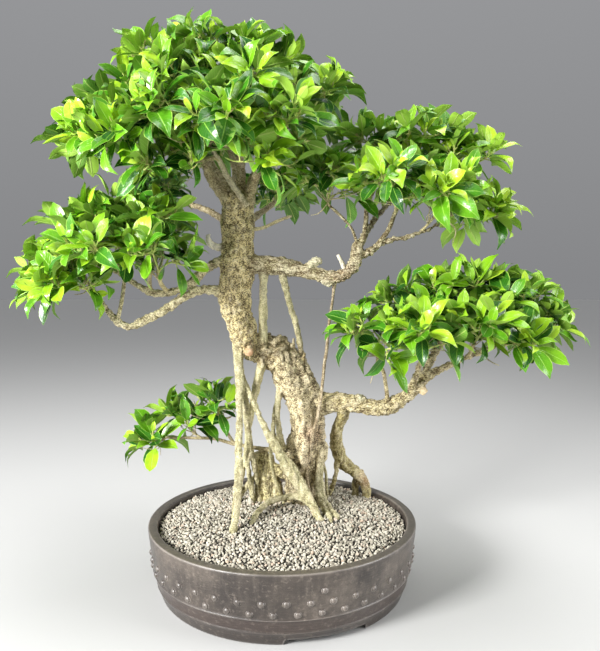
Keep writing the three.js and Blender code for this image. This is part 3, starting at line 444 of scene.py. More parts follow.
hand = random.Random(17)
pot_parts = [revolve_pot(), stud(*ODD_STUD)]
for height, first in STUD_ROWS:
    for k in range(STUDS_PER_ROW):
        size = hand.uniform(*STUD_SIZES)
        degrees = first + 360 * k / STUDS_PER_ROW + hand.uniform(-DEGREES_OFF, DEGREES_OFF)
        pot_parts.append(stud(height + hand.uniform(-HEIGHT_OFF, HEIGHT_OFF), degrees, size))
pot_points, pot_faces = join_parts(pot_parts)
pot_mesh = make_mesh("clay_pot", pot_points, pot_faces)
pot_mesh.set_sharp_from_angle(angle=math.radians(50))
add_piece("clay_pot", pot_mesh, "pot")
print("pot faces:", len(pot_faces))

# %% [markdown]
# ### Unglazed clay
#
# Fired clay without glaze is uneven and has a dull sheen: cloudy patches, a pale uneven wash that
# water has left, faint streaks, fine dark and pale grains, and paler edges on the rim, the ridge
# and the studs, partly wear and partly painted highlight. The band under the ridge is browner, the
# top of the rim is olive, and the wall grows darker towards its foot. Patches, wash, streaks and
# grains come from noise in the object's own coordinates, so no unwrapping is needed. The bands come
# from the height, and the pale edges from how far a point stands out.

# %% Mix the clay
clay, clay_shader = new_material("grey_brown_clay")
clay_place = object_place(clay)
clay_height = add_node(clay, "ShaderNodeSeparateXYZ", {"Vector": clay_place}).outputs["Z"]
clay_patches = noise_at(clay, clay_place, 16, 6, 0.62)
clay_streaks = noise_at(clay, stretched(clay, clay_place, 0.12), 120, 4, 0.6)
clay_wash = noise_at(clay, clay_place, 7, 8, 0.72)
clay_spots = noise_at(clay, clay_place, 150, 6, 0.7)
clay_grains = noise_at(clay, clay_place, 520, 2, 0.7)
in_band = times(clay, between(clay, clay_height, 0.0196, 0.0206), between(clay, clay_height, 0.0368, 0.0358))
clay_colour = mixed(clay, between(clay, clay_patches, 0.34, 0.68), tone(46, 39, 35), tone(78, 69, 61))
clay_colour = layered(clay, clay_colour, (
    (clay_streaks, 0.5, 0.72, 0.2, (130, 119, 108)),
    (clay_streaks, 0.48, 0.3, 0.25, (48, 41, 37)),
    (clay_wash, 0.5, 0.68, 0.42, (140, 128, 116)),
    (in_band, 0, 1, 0.6, (72, 56, 50)),
    (clay_height, 0.0984, 0.0993, 0.5, (98, 93, 80)),
    (clay_height, 0.056, 0.004, 0.75, (42, 34, 30)),
    (clay_spots, 0.54, 0.66, 0.3, (146, 134, 122)),
    (clay_spots, 0.46, 0.34, 0.35, (44, 38, 35)),
    (clay_grains, 0.58, 0.7, 0.5, (44, 39, 37)),
))

# %% Make the clay's edges pale, partly as wear and partly as painted highlight, and give it its sheen and fine relief
clay_edges = add_node(clay, "ShaderNodeNewGeometry").outputs["Pointiness"]
wear_and_highlight_share = between(clay, clay_patches, 0.3, 0.6, 0.25, 0.8)
wheel_rings = add_node(clay, "ShaderNodeTexWave", {
    "Vector": clay_place, "Scale": 90, "Distortion": 3.5, "Detail": 3, "Detail Scale": 1.2},
    wave_type="BANDS", bands_direction="Z").outputs["Fac"]
fill_sockets(clay, clay_shader, {
    # The pale edges on the rim, ridge and studs are partly wear and partly a painted highlight.
    "Base Color": layered(clay, clay_colour, [(clay_edges, 0.52, 0.58, wear_and_highlight_share, (176, 167, 158))]),
    "Roughness": between(clay, clay_patches, 0.3, 0.7, 0.36, 0.52),
    "Specular IOR Level": 0.6,
    "Coat Weight": 0.3,
    "Coat Roughness": 0.3,
    "Normal": bumps(clay, (
        (wheel_rings, 0.0003, 0.35),
        (clay_streaks, 0.0012, 0.3),
        (clay_grains, 0.0005, 0.5),
    )),
})
pot_mesh.materials.append(clay)
print("clay nodes:", len(clay.node_tree.nodes))

# %% [markdown]
# ## The drain screen
#
# A square of plastic mesh lies over the drain hole, under the grit. Its shape in the solid model
# is already right, so it stays and only gets a finish: dull black-green plastic with the faint
# grain of a moulded sheet.

# %% Finish the plastic mesh
plastic, plastic_shader = new_material("moulded_plastic")
plastic_grain = noise_at(plastic, object_place(plastic), 900, 3, 0.6)
plastic_share = between(plastic, plastic_grain, 0.4, 0.6)
fill_sockets(plastic, plastic_shader, {
    "Base Color": mixed(plastic, plastic_share, tone(26, 34, 28), tone(40, 50, 42)),
    "Roughness": between(plastic, plastic_grain, 0.3, 0.7, 0.42, 0.6),
    "Normal": bumps(plastic, [(plastic_grain, 0.0002, 0.4)]),
})
drain_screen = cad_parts["drain_screen"]
for slot in drain_screen.material_slots:
    slot.material = plastic
print("screen faces:", len(drain_screen.data.polygons))

# %% [markdown]
# ## The tree's own lines
#
# Trunks, roots and branches are all round limbs that bend. Each is written as its middle line: a
# list of places with the limb's diameter there, (x, y, z, diameter). Roots run down into the grit,
# and branches run outwards. The solid model is built on the same lines, so the finer wood below
# stays where the solid wood is.

# %% Trunks, branches and roots
LIMBS = {
    "upper_trunk": [
        (-67, 15, 585, 42), (-68, 15, 545, 47), (-67, 12, 502, 46), (-70, 10, 462, 49),
        (-73, 10, 440, 47), (-69, 9, 415, 44), (-61, 7, 385, 44), (-55, 8, 364, 38), (-48, 14, 352, 34),
        (-31, 22, 349, 40), (-12, 30, 339, 46),
    ],
    "lower_trunk": [
        (-13, 27, 369, 22), (-6, 29, 350, 44), (6, 31, 328, 58), (20, 34, 301, 60), (33, 36, 273, 57),
        (37, 38, 240, 55), (36, 41, 205, 57), (32, 45, 180, 62), (28, 48, 155, 55), (30, 51, 128, 56),
        (32, 52, 94, 62),
    ],
    "branch_a": [
        (-73, 8, 492, 20), (-92, 4, 486, 14), (-115, -2, 472, 13), (-135, -10, 452, 13),
        (-158, -14, 441, 10), (-190, -19, 440, 10), (-218, -24, 456, 9), (-246, -30, 477, 7.5),
        (-274, -32, 489, 5.5),
    ],
    "branch_b": [
        (-78, 6, 430, 24), (-94, 0, 441, 15), (-122, -12, 442, 11.5), (-142, -22, 433, 11.5),
        (-165, -31, 417, 11.5), (-195, -37, 401, 11), (-218, -37, 391, 9), (-238, -34, 400, 9.5),
        (-254, -30, 418, 6.5), (-281, -24, 453, 5.5), (-302, -22, 468, 4.5),
    ],
    "branch_b_twig": [
        (-236, -34, 400, 6), (-230, -32, 428, 5.5), (-228, -28, 452, 5), (-224, -26, 470, 4.5),
    ],
    "branch_c": [
        (-62, 10, 484, 26), (-31, 10, 481, 27), (2, 8, 478, 24), (32, 5, 471, 21), (55, 2, 465, 19),
        (78, 0, 462, 20), (96, -2, 469, 19), (108, -4, 484, 18), (111, -4, 500, 18), (112, -4, 513, 15),
    ],
    "branch_c_right": [
        (111, -4, 492, 12), (124, -6, 497, 10.5), (149, -8, 514, 8.2), (180, -12, 520, 6),
        (222, -16, 536, 5), (246, -18, 553, 4.6),
    ],
    "branch_c_middle": [
        (136, -6, 505, 8), (152, -14, 526, 6.8), (160, -25, 547, 5.8), (166, -40, 563, 5),
    ],
    "branch_c_up": [
        (113, -4, 505, 10), (119, -4, 518, 8.2), (123, 2, 540, 7), (127, 10, 569, 6),
        (139, 10, 598, 5.2),
    ],
    "branch_c_left": [
        (111, -4, 510, 5), (102, -6, 532, 4), (82, -9, 554, 4), (66, -12, 568, 3.8),
    ],
    "branch_c_back": [
        (112, 0, 508, 11), (127, 25, 530, 9), (148, 55, 558, 7.8), (178, 82, 588, 6),
    ],
    "branch_d": [
        (46, 36, 262, 36), (73, 30, 268, 31), (95, 24, 270, 28), (117, 15, 268, 25),
        (140, 5, 265, 23.5), (160, 0, 268, 23), (180, -5, 281, 21), (196, -10, 297, 19),
        (208, -15, 311, 14),
    ],
    "branch_d_right": [
        (202, -13, 304, 14), (224, -20, 323, 11.5), (247, -22, 335, 8.8), (290, -28, 354, 6.8),
        (330, -30, 371, 5.8), (367, -28, 388, 5),
    ],
    "branch_d_up": [
        (200, -12, 302, 13), (212, -10, 321, 11), (221, -8, 343, 8.5), (236, -6, 368, 6.5),
    ],
    "branch_d_left": [
        (159, -3, 272, 8), (155, -12, 292, 6), (147, -34, 324, 5), (136, -50, 350, 4.6),
    ],
    "branch_d_front": [
        (192, -12, 296, 10.5), (193, -35, 316, 8.5), (194, -62, 340, 6.5),
    ],
    "branch_d_back": [
        (206, -10, 309, 10.5), (223, 20, 326, 9), (244, 50, 348, 7),
    ],
    "low_branch": [
        (0, 38, 190, 9), (-34, 42, 192, 6.5), (-77, 50, 197, 5.8), (-109, 50, 206, 5),
        (-150, 46, 208, 4.4), (-186, 43, 210, 4),
    ],
    "low_branch_up": [
        (-78, 50, 198, 5), (-92, 52, 220, 4.5), (-102, 52, 236, 4.2),
    ],
    "root_left": [
        (-60, 4, 384, 24), (-65, 0, 362, 18), (-65, -3, 334, 14.5), (-63, -6, 308, 14),
        (-64, -12, 280, 10.5), (-63, -20, 251, 9.5), (-63, -35, 210, 11.5), (-62, -47, 178, 12),
        (-64, -60, 142, 11), (-69, -76, 92, 10),
    ],
    "root_left_back": [
        (-62, -4, 315, 11), (-57, 1, 285, 9.5), (-55, 10, 240, 9.5), (-50, 22, 198, 8.5),
        (-42, 34, 150, 8), (-40, 42, 112, 8), (-40, 44, 92, 8),
    ],
    "root_left_twin": [
        (-54, 15, 221, 7), (-57, 20, 195, 7.5), (-53, 29, 155, 7.5), (-48, 34, 110, 8),
        (-47, 35, 92, 8),
    ],
    "root_diagonal": [
        (-60, -4, 315, 7), (-44, -6, 277, 8.2), (-31, -7, 247, 9), (-19, -8, 223, 10.5),
        (-3, -5, 195, 17), (14, -2, 168, 21), (32, -9, 140, 18), (46, -20, 120, 13.5),
        (55, -33, 103, 11), (58, -38, 92, 10),
    ],
    "root_straight": [
        (-28, 11, 480, 17), (-29, 12, 450, 12.5), (-30, 12, 397, 12), (-30, 12, 345, 14),
        (-43, 15, 284, 10.5), (-51, 21, 243, 9), (-59, 30, 180, 8), (-68, 38, 135, 8), (-74, 43, 92, 8),
    ],
    "root_slanted": [
        (-2, 8, 478, 14), (2, 8, 458, 10.5), (11, 12, 420, 8.3), (22, 19, 382, 8.2), (27, 25, 350, 8.2),
        (27, 28, 334, 8),
    ],
    "root_thin": [
        (78, 0, 464, 9), (77, 0, 448, 5.4), (71, 2, 398, 4.8), (64, 6, 337, 4.8), (55, 10, 259, 5.2),
        (41, 13, 196, 5.4), (36, 15, 164, 5), (40, 16, 135, 5), (47, 19, 92, 5),
    ],
    "root_arch": [
        (94, 26, 266, 24), (93, 36, 246, 19), (87, 48, 227, 17.5), (84, 60, 206, 20), (86, 72, 185, 21),
        (95, 84, 161, 21), (111, 91, 144, 19.5), (127, 96, 130, 19), (136, 99, 111, 15.5),
        (138, 100, 89, 14.5),
    ],
    "root_arch_inner": [
        (122, 100, 134, 13), (120, 104, 112, 10.5), (119, 106, 88, 9),
    ],
    "root_arch_side": [
        (87, 72, 178, 10), (86, 76, 148, 7), (82, 80, 124, 6.8), (76, 84, 106, 6.8), (75, 85, 92, 6.8),
    ],
    "root_back": [
        (58, 60, 178, 7), (67, 66, 150, 5), (70, 71, 112, 5), (70, 72, 92, 5),
    ],
    "root_centre": [
        (53, 36, 196, 20), (55, 32, 168, 16), (55, 31, 144, 14.5), (56, 33, 122, 17), (57, 35, 92, 18),
    ],
    "root_toe_left": [
        (56, 30, 117, 13), (63, 2, 110, 9.5), (71, -28, 105, 8), (75, -46, 96, 7),
    ],
    "root_toe_right": [
        (60, 32, 117, 12), (71, 6, 110, 9), (81, -22, 105, 7.5), (85, -36, 96, 7),
    ],
    "root_surface": [
        (44, -16, 124, 11), (36, -2, 125, 13), (22, 8, 126, 11), (2, 8, 124, 10), (-19, 0, 121, 10),
        (-32, -18, 117, 9.7), (-41, -40, 110, 9), (-46, -54, 97, 8),
    ],
    "stump_left": [
        (-42, 46, 186, 9.5), (-40, 46, 157, 14), (-36, 46, 119, 16), (-36, 46, 92, 17),
    ],
    "stump_middle": [
        (-32, 46, 191, 11), (-29, 46, 157, 16), (-24, 46, 119, 17), (-24, 46, 92, 18),
    ],
    "stump_right": [
        (-23, 48, 180, 10), (-16, 47, 150, 14), (-9, 47, 118, 16), (-8, 47, 92, 17),
    ],
    "stump_link": [
        (-20, 47, 160, 13), (-2, 47, 152, 18), (16, 47, 150, 22),
    ],
    "root_low_left": [
        (-42, 40, 150, 8), (-58, 42, 131, 7.8), (-72, 46, 108, 7.5), (-77, 47, 94, 7),
    ],
    "root_hair": [
        (-18, -6, 223, 8), (-18, 8, 209, 7), (-18, 20, 178, 5.6), (-13, 27, 149, 5.2), (0, 30, 110, 5),
        (2, 31, 92, 5),
    ],
    "root_fused_inner": [
        (6, 30, 312, 16), (-5, 24, 286, 10), (-8, 21, 258, 8.2), (-6, 20, 227, 8.2), (0, 24, 196, 12),
    ],
    "root_fused_outer": [
        (-5, 26, 284, 8), (-12, 27, 257, 7.2), (-15, 27, 233, 7.2), (-13, 27, 210, 8), (0, 30, 186, 12),
    ],
    "crown_left": [
        (-72, 12, 566, 26), (-88, 5, 587, 20), (-102, -5, 604, 16), (-110, -15, 622, 13),
        (-126, -25, 643, 10.5), (-172, -38, 666, 7.5), (-238, -36, 668, 5),
    ],
    "crown_strap": [
        (-52, -2, 566, 11), (-66, -11, 588, 9.5), (-78, -25, 606, 8.7), (-86, -48, 624, 7.5),
        (-102, -85, 645, 5.8),
    ],
    "crown_middle": [
        (-64, 17, 570, 20), (-62, 14, 599, 14), (-63, 8, 640, 11), (-76, 0, 688, 8.2),
        (-92, -8, 738, 5.2),
    ],
    "crown_right": [
        (-54, 12, 563, 22), (-46, 5, 590, 15.5), (-37, 0, 610, 12), (-12, -7, 640, 9.6),
        (24, -12, 676, 6),
    ],
    "crown_front": [
        (-46, 2, 592, 11), (-34, -25, 612, 8.7), (-20, -62, 628, 6),
    ],
    "crown_top_left": [
        (-67, 5, 655, 8.5), (-98, 0, 684, 7.4), (-152, -8, 732, 5.4),
    ],
    "crown_top_right": [
        (-65, 8, 648, 8.5), (-47, 8, 686, 7.4), (-26, 0, 742, 5.2),
    ],
    "crown_back_left": [
        (-75, 18, 575, 18), (-100, 52, 620, 12), (-137, 85, 670, 9.4), (-185, 98, 715, 6),
    ],
    "crown_back_right": [
        (-56, 20, 578, 18), (-40, 58, 628, 12), (-14, 88, 680, 9), (10, 96, 705, 6),
    ],
    "crown_back": [
        (-65, 17, 582, 16), (-78, 72, 640, 9.5), (-94, 112, 690, 7.5), (-97, 118, 745, 5.4),
    ],
    "back_left": [
        (-70, 20, 524, 17), (-92, 62, 549, 11), (-130, 112, 573, 9.4), (-190, 160, 592, 6.4),
    ],
    "back_right": [
        (-64, 22, 532, 16), (-43, 70, 558, 10.4), (-23, 122, 579, 8.2), (-17, 150, 590, 6),
    ],
    "dead_stub_left": [
        (-84, 8, 508, 13), (-97, 0, 506, 10.3), (-107, -4, 512, 8.5), (-109, -6, 525, 5.5),
    ],
    "dead_stub_right": [
        (94, -2, 470, 8), (87, -4, 486, 6), (82, -6, 495, 4.5),
    ],
    "bare_twig_right": [
        (-54, 12, 532, 8), (-31, 16, 535, 5), (-8, 21, 546, 4.6), (14, 25, 554, 4),
    ],
    "sawn_stub": [
        (-52, 8, 360, 14), (-50, -5, 354, 13), (-49, -14, 350, 13),
    ],
    "sawn_knob_right": [
        (201, -12, 303, 14), (207, -15, 296, 13), (212, -18, 291, 11),
    ],
}

# %% [markdown]
# The leaves sit in leafy sprays at the ends of bare twigs. A spray is written as the limb that
# carries it, how far along that limb its twig starts, its middle, and its half size each way.

# %% Leafy sprays: name, limb, share along it, middle, half size
SPRAYS = [
    ("crown_far_left", "crown_left", 1, (-268, -20, 664), (45, 38, 26)),
    ("crown_left_high", "crown_top_left", 0.75, (-232, 0, 716), (42, 38, 26)),
    ("crown_left_front", "crown_left", 0.75, (-197, -95, 655), (40, 35, 30)),
    ("crown_top_left", "crown_top_left", 1, (-168, -20, 766), (38, 38, 24)),
    ("crown_top_middle", "crown_middle", 1, (-97, -30, 780), (38, 38, 22)),
    ("crown_top_right", "crown_top_right", 1, (-28, -10, 776), (40, 38, 22)),
    ("crown_right_high", "crown_right", 1, (42, -20, 708), (42, 40, 34)),
    ("crown_front_left", "crown_strap", 1, (-132, -125, 667), (38, 36, 32)),
    ("crown_front_middle", "crown_strap", 0.9, (-67, -145, 656), (38, 34, 32)),
    ("crown_front_right", "crown_front", 1, (4, -115, 660), (40, 34, 30)),
    ("crown_low_left", "crown_strap", 0.7, (-141, -95, 616), (36, 34, 20)),
    ("crown_low_right", "crown_front", 0.8, (-24, -98, 620), (36, 32, 18)),
    ("crown_upper_left", "crown_middle", 0.8, (-129, -90, 720), (36, 34, 30)),
    ("crown_upper_right", "crown_middle", 0.7, (-44, -95, 716), (38, 34, 30)),
    ("crown_back_left", "crown_back_left", 1, (-212, 105, 726), (48, 40, 30)),
    ("crown_back_middle", "crown_back", 1, (-97, 118, 768), (44, 38, 26)),
    ("crown_back_right", "crown_back_right", 1, (18, 98, 718), (44, 40, 30)),
    ("crown_back_low", "crown_back", 0.6, (-119, 170, 690), (44, 36, 30)),
    ("rear_left", "back_left", 1, (-226, 188, 606), (44, 36, 20)),
    ("rear_right", "back_right", 1, (-15, 182, 606), (40, 36, 20)),
    ("left_tip", "branch_b", 1, (-330, -20, 474), (24, 34, 20)),
    ("left_high", "branch_b", 0.92, (-298, -16, 522), (32, 36, 22)),
    ("left_middle", "branch_a", 0.95, (-242, -30, 545), (36, 36, 24)),
    ("left_inner", "branch_a", 0.6, (-170, -45, 533), (36, 34, 24)),
    ("left_front", "branch_b_twig", 1, (-235, -92, 500), (38, 32, 24)),
    ("left_front_inner", "branch_a", 0.5, (-169, -88, 494), (36, 32, 22)),
    ("left_low", "branch_b", 0.88, (-296, -68, 455), (34, 30, 20)),
    ("left_back", "branch_a", 0.85, (-240, 60, 535), (42, 36, 24)),
    ("right_left", "branch_c_left", 1, (68, -22, 598), (34, 34, 26)),
    ("right_top_left", "branch_c_up", 1, (136, 0, 647), (36, 36, 24)),
    ("right_top", "branch_c_middle", 1, (197, -14, 656), (38, 36, 22)),
    ("right_top_right", "branch_c_right", 0.9, (258, -10, 628), (36, 36, 24)),
    ("right_tip", "branch_c_right", 1, (278, -20, 558), (26, 34, 22)),
    ("right_front", "branch_c_middle", 0.85, (153, -92, 588), (38, 32, 28)),
    ("right_front_outer", "branch_c_right", 0.7, (222, -85, 574), (38, 32, 26)),
    ("right_back", "branch_c_back", 1, (205, 90, 625), (46, 36, 26)),
    ("low_right_left", "branch_d_left", 1, (126, -60, 372), (30, 32, 28)),
    ("low_right_top_left", "branch_d_up", 0.9, (189, -20, 422), (36, 36, 22)),
    ("low_right_top", "branch_d_up", 1, (261, -12, 442), (38, 36, 22)),
    ("low_right_top_outer", "branch_d_right", 0.75, (325, -20, 432), (36, 36, 22)),
    ("low_right_tip", "branch_d_right", 1, (382, -20, 392), (24, 32, 18)),
    ("low_right_front", "branch_d_front", 1, (192, -112, 390), (38, 32, 24)),
    ("low_right_front_outer", "branch_d_right", 0.45, (268, -92, 395), (38, 32, 24)),
    ("low_right_under", "branch_d_right", 0.7, (329, -62, 376), (36, 32, 18)),
    ("low_right_back", "branch_d_back", 1, (290, 80, 398), (46, 36, 24)),
    ("low_left_tip", "low_branch", 1, (-210, 40, 208), (20, 24, 12)),
    ("low_left_middle", "low_branch", 0.72, (-158, 46, 240), (22, 22, 14)),
    ("low_left_inner", "low_branch_up", 1, (-112, 54, 262), (20, 22, 14)),
]

# %% [markdown]
# ## Smooth limbs
#
# The rows above are sparse, so a smooth curve is laid through them, and places along it are read
# off every few millimetres. A set of sideways directions is carried along the curve without
# twisting, so that rings can be laid round it.

# %% Lay a smooth curve through a limb's rows
def smooth_line(rows, step):
    """The curve's rows every step millimetres: x, y, z, diameter."""
    rows = np.array(rows, float)
    gaps = np.linalg.norm(np.diff(rows[:, :3], axis=0), axis=1)
    lengths = np.concatenate([[0], np.cumsum(gaps)])
    slopes = np.gradient(rows, lengths, axis=0)
    at = np.linspace(0, lengths[-1], max(2, round(lengths[-1] / step)) + 1)
    i = np.clip(np.searchsorted(lengths, at, side="right") - 1, 0, len(gaps) - 1)
    gap = gaps[i][:, None]
    t = ((at - lengths[i]) / gaps[i])[:, None]
    return (
        (1 + 2 * t) * (1 - t) ** 2 * rows[i]
        + t * (1 - t) ** 2 * gap * slopes[i]
        + t * t * (3 - 2 * t) * rows[i + 1]
        + t * t * (t - 1) * gap * slopes[i + 1]
    )


def unit(vector):
    return vector / np.linalg.norm(vector)


# %% Carry two sideways directions along a curve
BACKWARDS = np.array([0.0, 1.0, 0.0])
STEEP = 0.8


def sideways_along(points):
    """Two directions square to the curve at each of its points, without twist."""
    steps = np.gradient(points, axis=0)
    along = steps / np.linalg.norm(steps, axis=1, keepdims=True)
    side = np.cross(BACKWARDS if abs(along[0][2]) > STEEP else UP, along[0])
    first = np.zeros_like(points)
    for i, direction in enumerate(along):
        side = unit(side - direction * side.dot(direction))
        first[i] = side
    return first, np.cross(along, first)


# %% Lay rings round a curve and skin them
def tube(points, radii, sides, spin=0):
    """radii is one number for each point, or one for each point and side. Both ends are closed."""
    points = np.asarray(points, float)
    radii = np.asarray(radii, float)
    if radii.ndim == 1:
        radii = np.repeat(radii[:, None], sides, axis=1)
    first, second = sideways_along(points)
    turns = spin + 2 * np.pi * np.arange(sides) / sides
    rings = (
        points[:, None, :]
        + (radii * np.cos(turns))[:, :, None] * first[:, None, :]
        + (radii * np.sin(turns))[:, :, None] * second[:, None, :]
    )
    return rings.reshape(-1, 3), tube_faces(len(points), sides)


# %% Find a place part of the way along a limb
def along_limb(name, share):
    """The place, the direction and the diameter there, on the straight lines between the rows."""
    rows = np.array(LIMBS[name], float)
    gaps = np.linalg.norm(np.diff(rows[:, :3], axis=0), axis=1)
    rest = share * gaps.sum()
    i = 0
    while i < len(gaps) - 1 and rest > gaps[i]:
        rest -= gaps[i]
        i += 1
    part = min(rest / gaps[i], 1)
    row = rows[i] + (rows[i + 1] - rows[i]) * part
    return row[:3], unit(rows[i + 1][:3] - rows[i][:3]), row[3]


def bent_line(start, start_direction, end, end_direction, steps):
    """A curve that leaves and arrives in the given directions."""
    reach = np.linalg.norm(end - start) * 0.35
    second = start + start_direction * reach
    third = end - end_direction * reach
    t = np.linspace(0, 1, steps + 1)[:, None]
    return (1 - t) ** 3 * start + 3 * t * (1 - t) ** 2 * second + 3 * t * t * (1 - t) * third + t**3 * end


# %% Find how a twig carries each spray
TWIG_OVERLAP = 5
TWIG_STEPS = 8
TWIG_RISE = 0.15
TWIG_SHARE_OF_LIMB = 0.72
THICKEST_TWIG = 7
THICKEST_TWIG_END = 4.8
FOOT_BEFORE_MIDDLE = 0.6
NEAREST_FOOT = 0.3
FOOT_DROP = 4


def spray_twig(limb, share, middle, half_size):
    """The twig's middle line, from inside its limb to the foot of the spray, and its diameters."""
    place, along, diameter = along_limb(limb, share)
    middle = np.array(middle, float)
    towards = middle - place
    distance = np.linalg.norm(towards)
    reach = max(NEAREST_FOOT, 1 - FOOT_BEFORE_MIDDLE * (half_size[0] + half_size[2]) / distance)
    foot = place + towards * reach - UP * FOOT_DROP
    foot_direction = unit(towards)
    start_direction = unit((along + foot_direction) / 2 + UP * TWIG_RISE)
    start = place - along * TWIG_OVERLAP
    thick = min(diameter * TWIG_SHARE_OF_LIMB, THICKEST_TWIG)
    return {
        "line": bent_line(start, start_direction, foot, foot_direction, TWIG_STEPS),
        "thick": thick,
        "thin": min(thick, THICKEST_TWIG_END),
        "middle": middle,
        "foot": foot,
        "foot_direction": foot_direction,
    }


TWIGS = {spray[0]: spray_twig(*spray[1:]) for spray in SPRAYS}
print("limbs:", len(LIMBS), "sprays:", len(SPRAYS))

# %% [markdown]
# ## The grit
#
# The tree stands in coarse grey grit: broken stone of about 4 to 7.5 mm with sharp corners, light
# and dark grains mixed, a few pinkish ones, and a few larger pebbles. It fills the pot to just
# under the rim and rises in a low mound at the roots.
#
# Grains could be scattered with a particle system, but loose real grains can each be turned,
# squashed and tinted in code. They are laid in the sunflower pattern, which spaces them evenly on a
# round bed, and shaken out of line. A rough bed lies under them.

# %% Give the bed its height
BED_RADIUS = 184.9
BED_EDGE_HEIGHT = 90.2
BED_MOUND = 18
SWELL_HEIGHT = 1.6
SWELL_WIDTH = 34


def bed_height(x, y):
    share = math.hypot(x, y) / BED_RADIUS
    swell = SWELL_HEIGHT * noise.noise(Vector((x / SWELL_WIDTH, y / SWELL_WIDTH, 3.1)))
    return BED_EDGE_HEIGHT + (BED_MOUND * (1 - share * share) + swell * (1 - share**6)) * (share < 1)


# %% Make the rough bed that lies just under the loose grains
BED_RINGS = 60
BED_COLUMNS = 144
BED_FLOOR = ((174.8, 22), (171.4, 18.6))
BED_UNDER_GRAINS = 0.8
ROUGH_HEIGHT = 0.9
ROUGH_WIDTH = 3.5


def bed_ring(radius):
    turns = [2 * math.pi * k / BED_COLUMNS for k in range(BED_COLUMNS)]
    return [(radius * math.cos(turn), radius * math.sin(turn)) for turn in turns]


def make_bed():
    points = [(0, 0, bed_height(0, 0))]
    for ring in range(1, BED_RINGS + 1):
        for x, y in bed_ring(BED_RADIUS * ring / BED_RINGS):
            rough = ROUGH_HEIGHT * noise.noise(Vector((x / ROUGH_WIDTH, y / ROUGH_WIDTH, 0.4)))
            points.append((x, y, bed_height(x, y) - BED_UNDER_GRAINS + rough * (ring < BED_RINGS)))
    for radius, height in BED_FLOOR:
        points += [(x, y, height) for x, y in bed_ring(radius)]
    faces = [(0, 1 + k, 1 + (k + 1) % BED_COLUMNS) for k in range(BED_COLUMNS)]
    for ring in range(BED_RINGS + 1):
        low = 1 + ring * BED_COLUMNS
        high = low + BED_COLUMNS
        for k in range(BED_COLUMNS):
            after = (k + 1) % BED_COLUMNS
            faces.append((low + k, high + k, high + after, low + after))
    faces.append(tuple(reversed(range(len(points) - BED_COLUMNS, len(points)))))
    return points, faces


# %% Cut one stone from a ball of twenty faces
GOLDEN = (1 + math.sqrt(5)) / 2
BALL_POINTS = np.array([
    (-1, GOLDEN, 0), (1, GOLDEN, 0), (-1, -GOLDEN, 0), (1, -GOLDEN, 0), (0, -1, GOLDEN), (0, 1, GOLDEN),
    (0, -1, -GOLDEN), (0, 1, -GOLDEN), (GOLDEN, 0, -1), (GOLDEN, 0, 1), (-GOLDEN, 0, -1), (-GOLDEN, 0, 1),
]) / math.hypot(1, GOLDEN)
BALL_FACES = [
    (0, 11, 5), (0, 5, 1), (0, 1, 7), (0, 7, 10), (0, 10, 11), (1, 5, 9), (5, 11, 4), (11, 10, 2),
    (10, 7, 6), (7, 1, 8), (3, 9, 4), (3, 4, 2), (3, 2, 6), (3, 6, 8), (3, 8, 9), (4, 9, 5),
    (2, 4, 11), (6, 2, 10), (8, 6, 7), (9, 8, 1),
]
CORNER_KNOCKS = (0.66, 1.12)
STONE_WIDTHS = (0.58, 0.95)
LOWEST_STONE = 0.42


def broken_stone(draw, size, height_share):
    """A stone with knocked-in corners, at most height_share as high as long, turned any way."""
    knocks = draw.uniform(*CORNER_KNOCKS, (len(BALL_POINTS), 1))
    shape = BALL_POINTS * knocks * (1, draw.uniform(*STONE_WIDTHS), draw.uniform(LOWEST_STONE, height_share))
    turn, _ = np.linalg.qr(draw.normal(size=(3, 3)))
    if np.linalg.det(turn) < 0:
        turn[:, 0] = -turn[:, 0]
    return shape @ turn.T * size / 2


# %% Find where roots stand in the bed, so that no grain lies inside one
REACHES_DOWN = 130
RING_STEP = 3
ABOVE_BED = 3


def root_places():
    """The place and the radius of every piece of root that is level with the bed's surface."""
    places = []
    for rows in LIMBS.values():
        if min(row[2] for row in rows) < REACHES_DOWN:
            for x, y, z, diameter in smooth_line(rows, RING_STEP):
                if abs(z - bed_height(x, y)) < diameter / 2 + ABOVE_BED:
                    places.append((x, y, diameter / 2))
    return np.array(places)


# %% Scatter the grains
GOLDEN_ANGLE = math.pi * (3 - math.sqrt(5))
GRAINS = 5200
GRAIN_SIZES = (4.1, 7.6)
GRAIN_LIFTS = (-0.6, 1.7)
GRAIN_SHAKE = 1.5
ROOM_AT_WALL = 2.2
ROOM_AT_ROOTS = 0.6
DARKEST_GRAIN = 0.08
PEBBLE_SHADES = (0.45, 0.62)
PEBBLES = ((-52, 30, 17), (-26, -2, 17), (-39, -20, 14), (-104, 38, 15), (96, -64, 12), (118, -22, 9),
           (-128, -40, 9), (20, -128, 8.5), (-70, -118, 9), (60, -96, 8), (-12, -84, 8.5), (142, 48, 9))


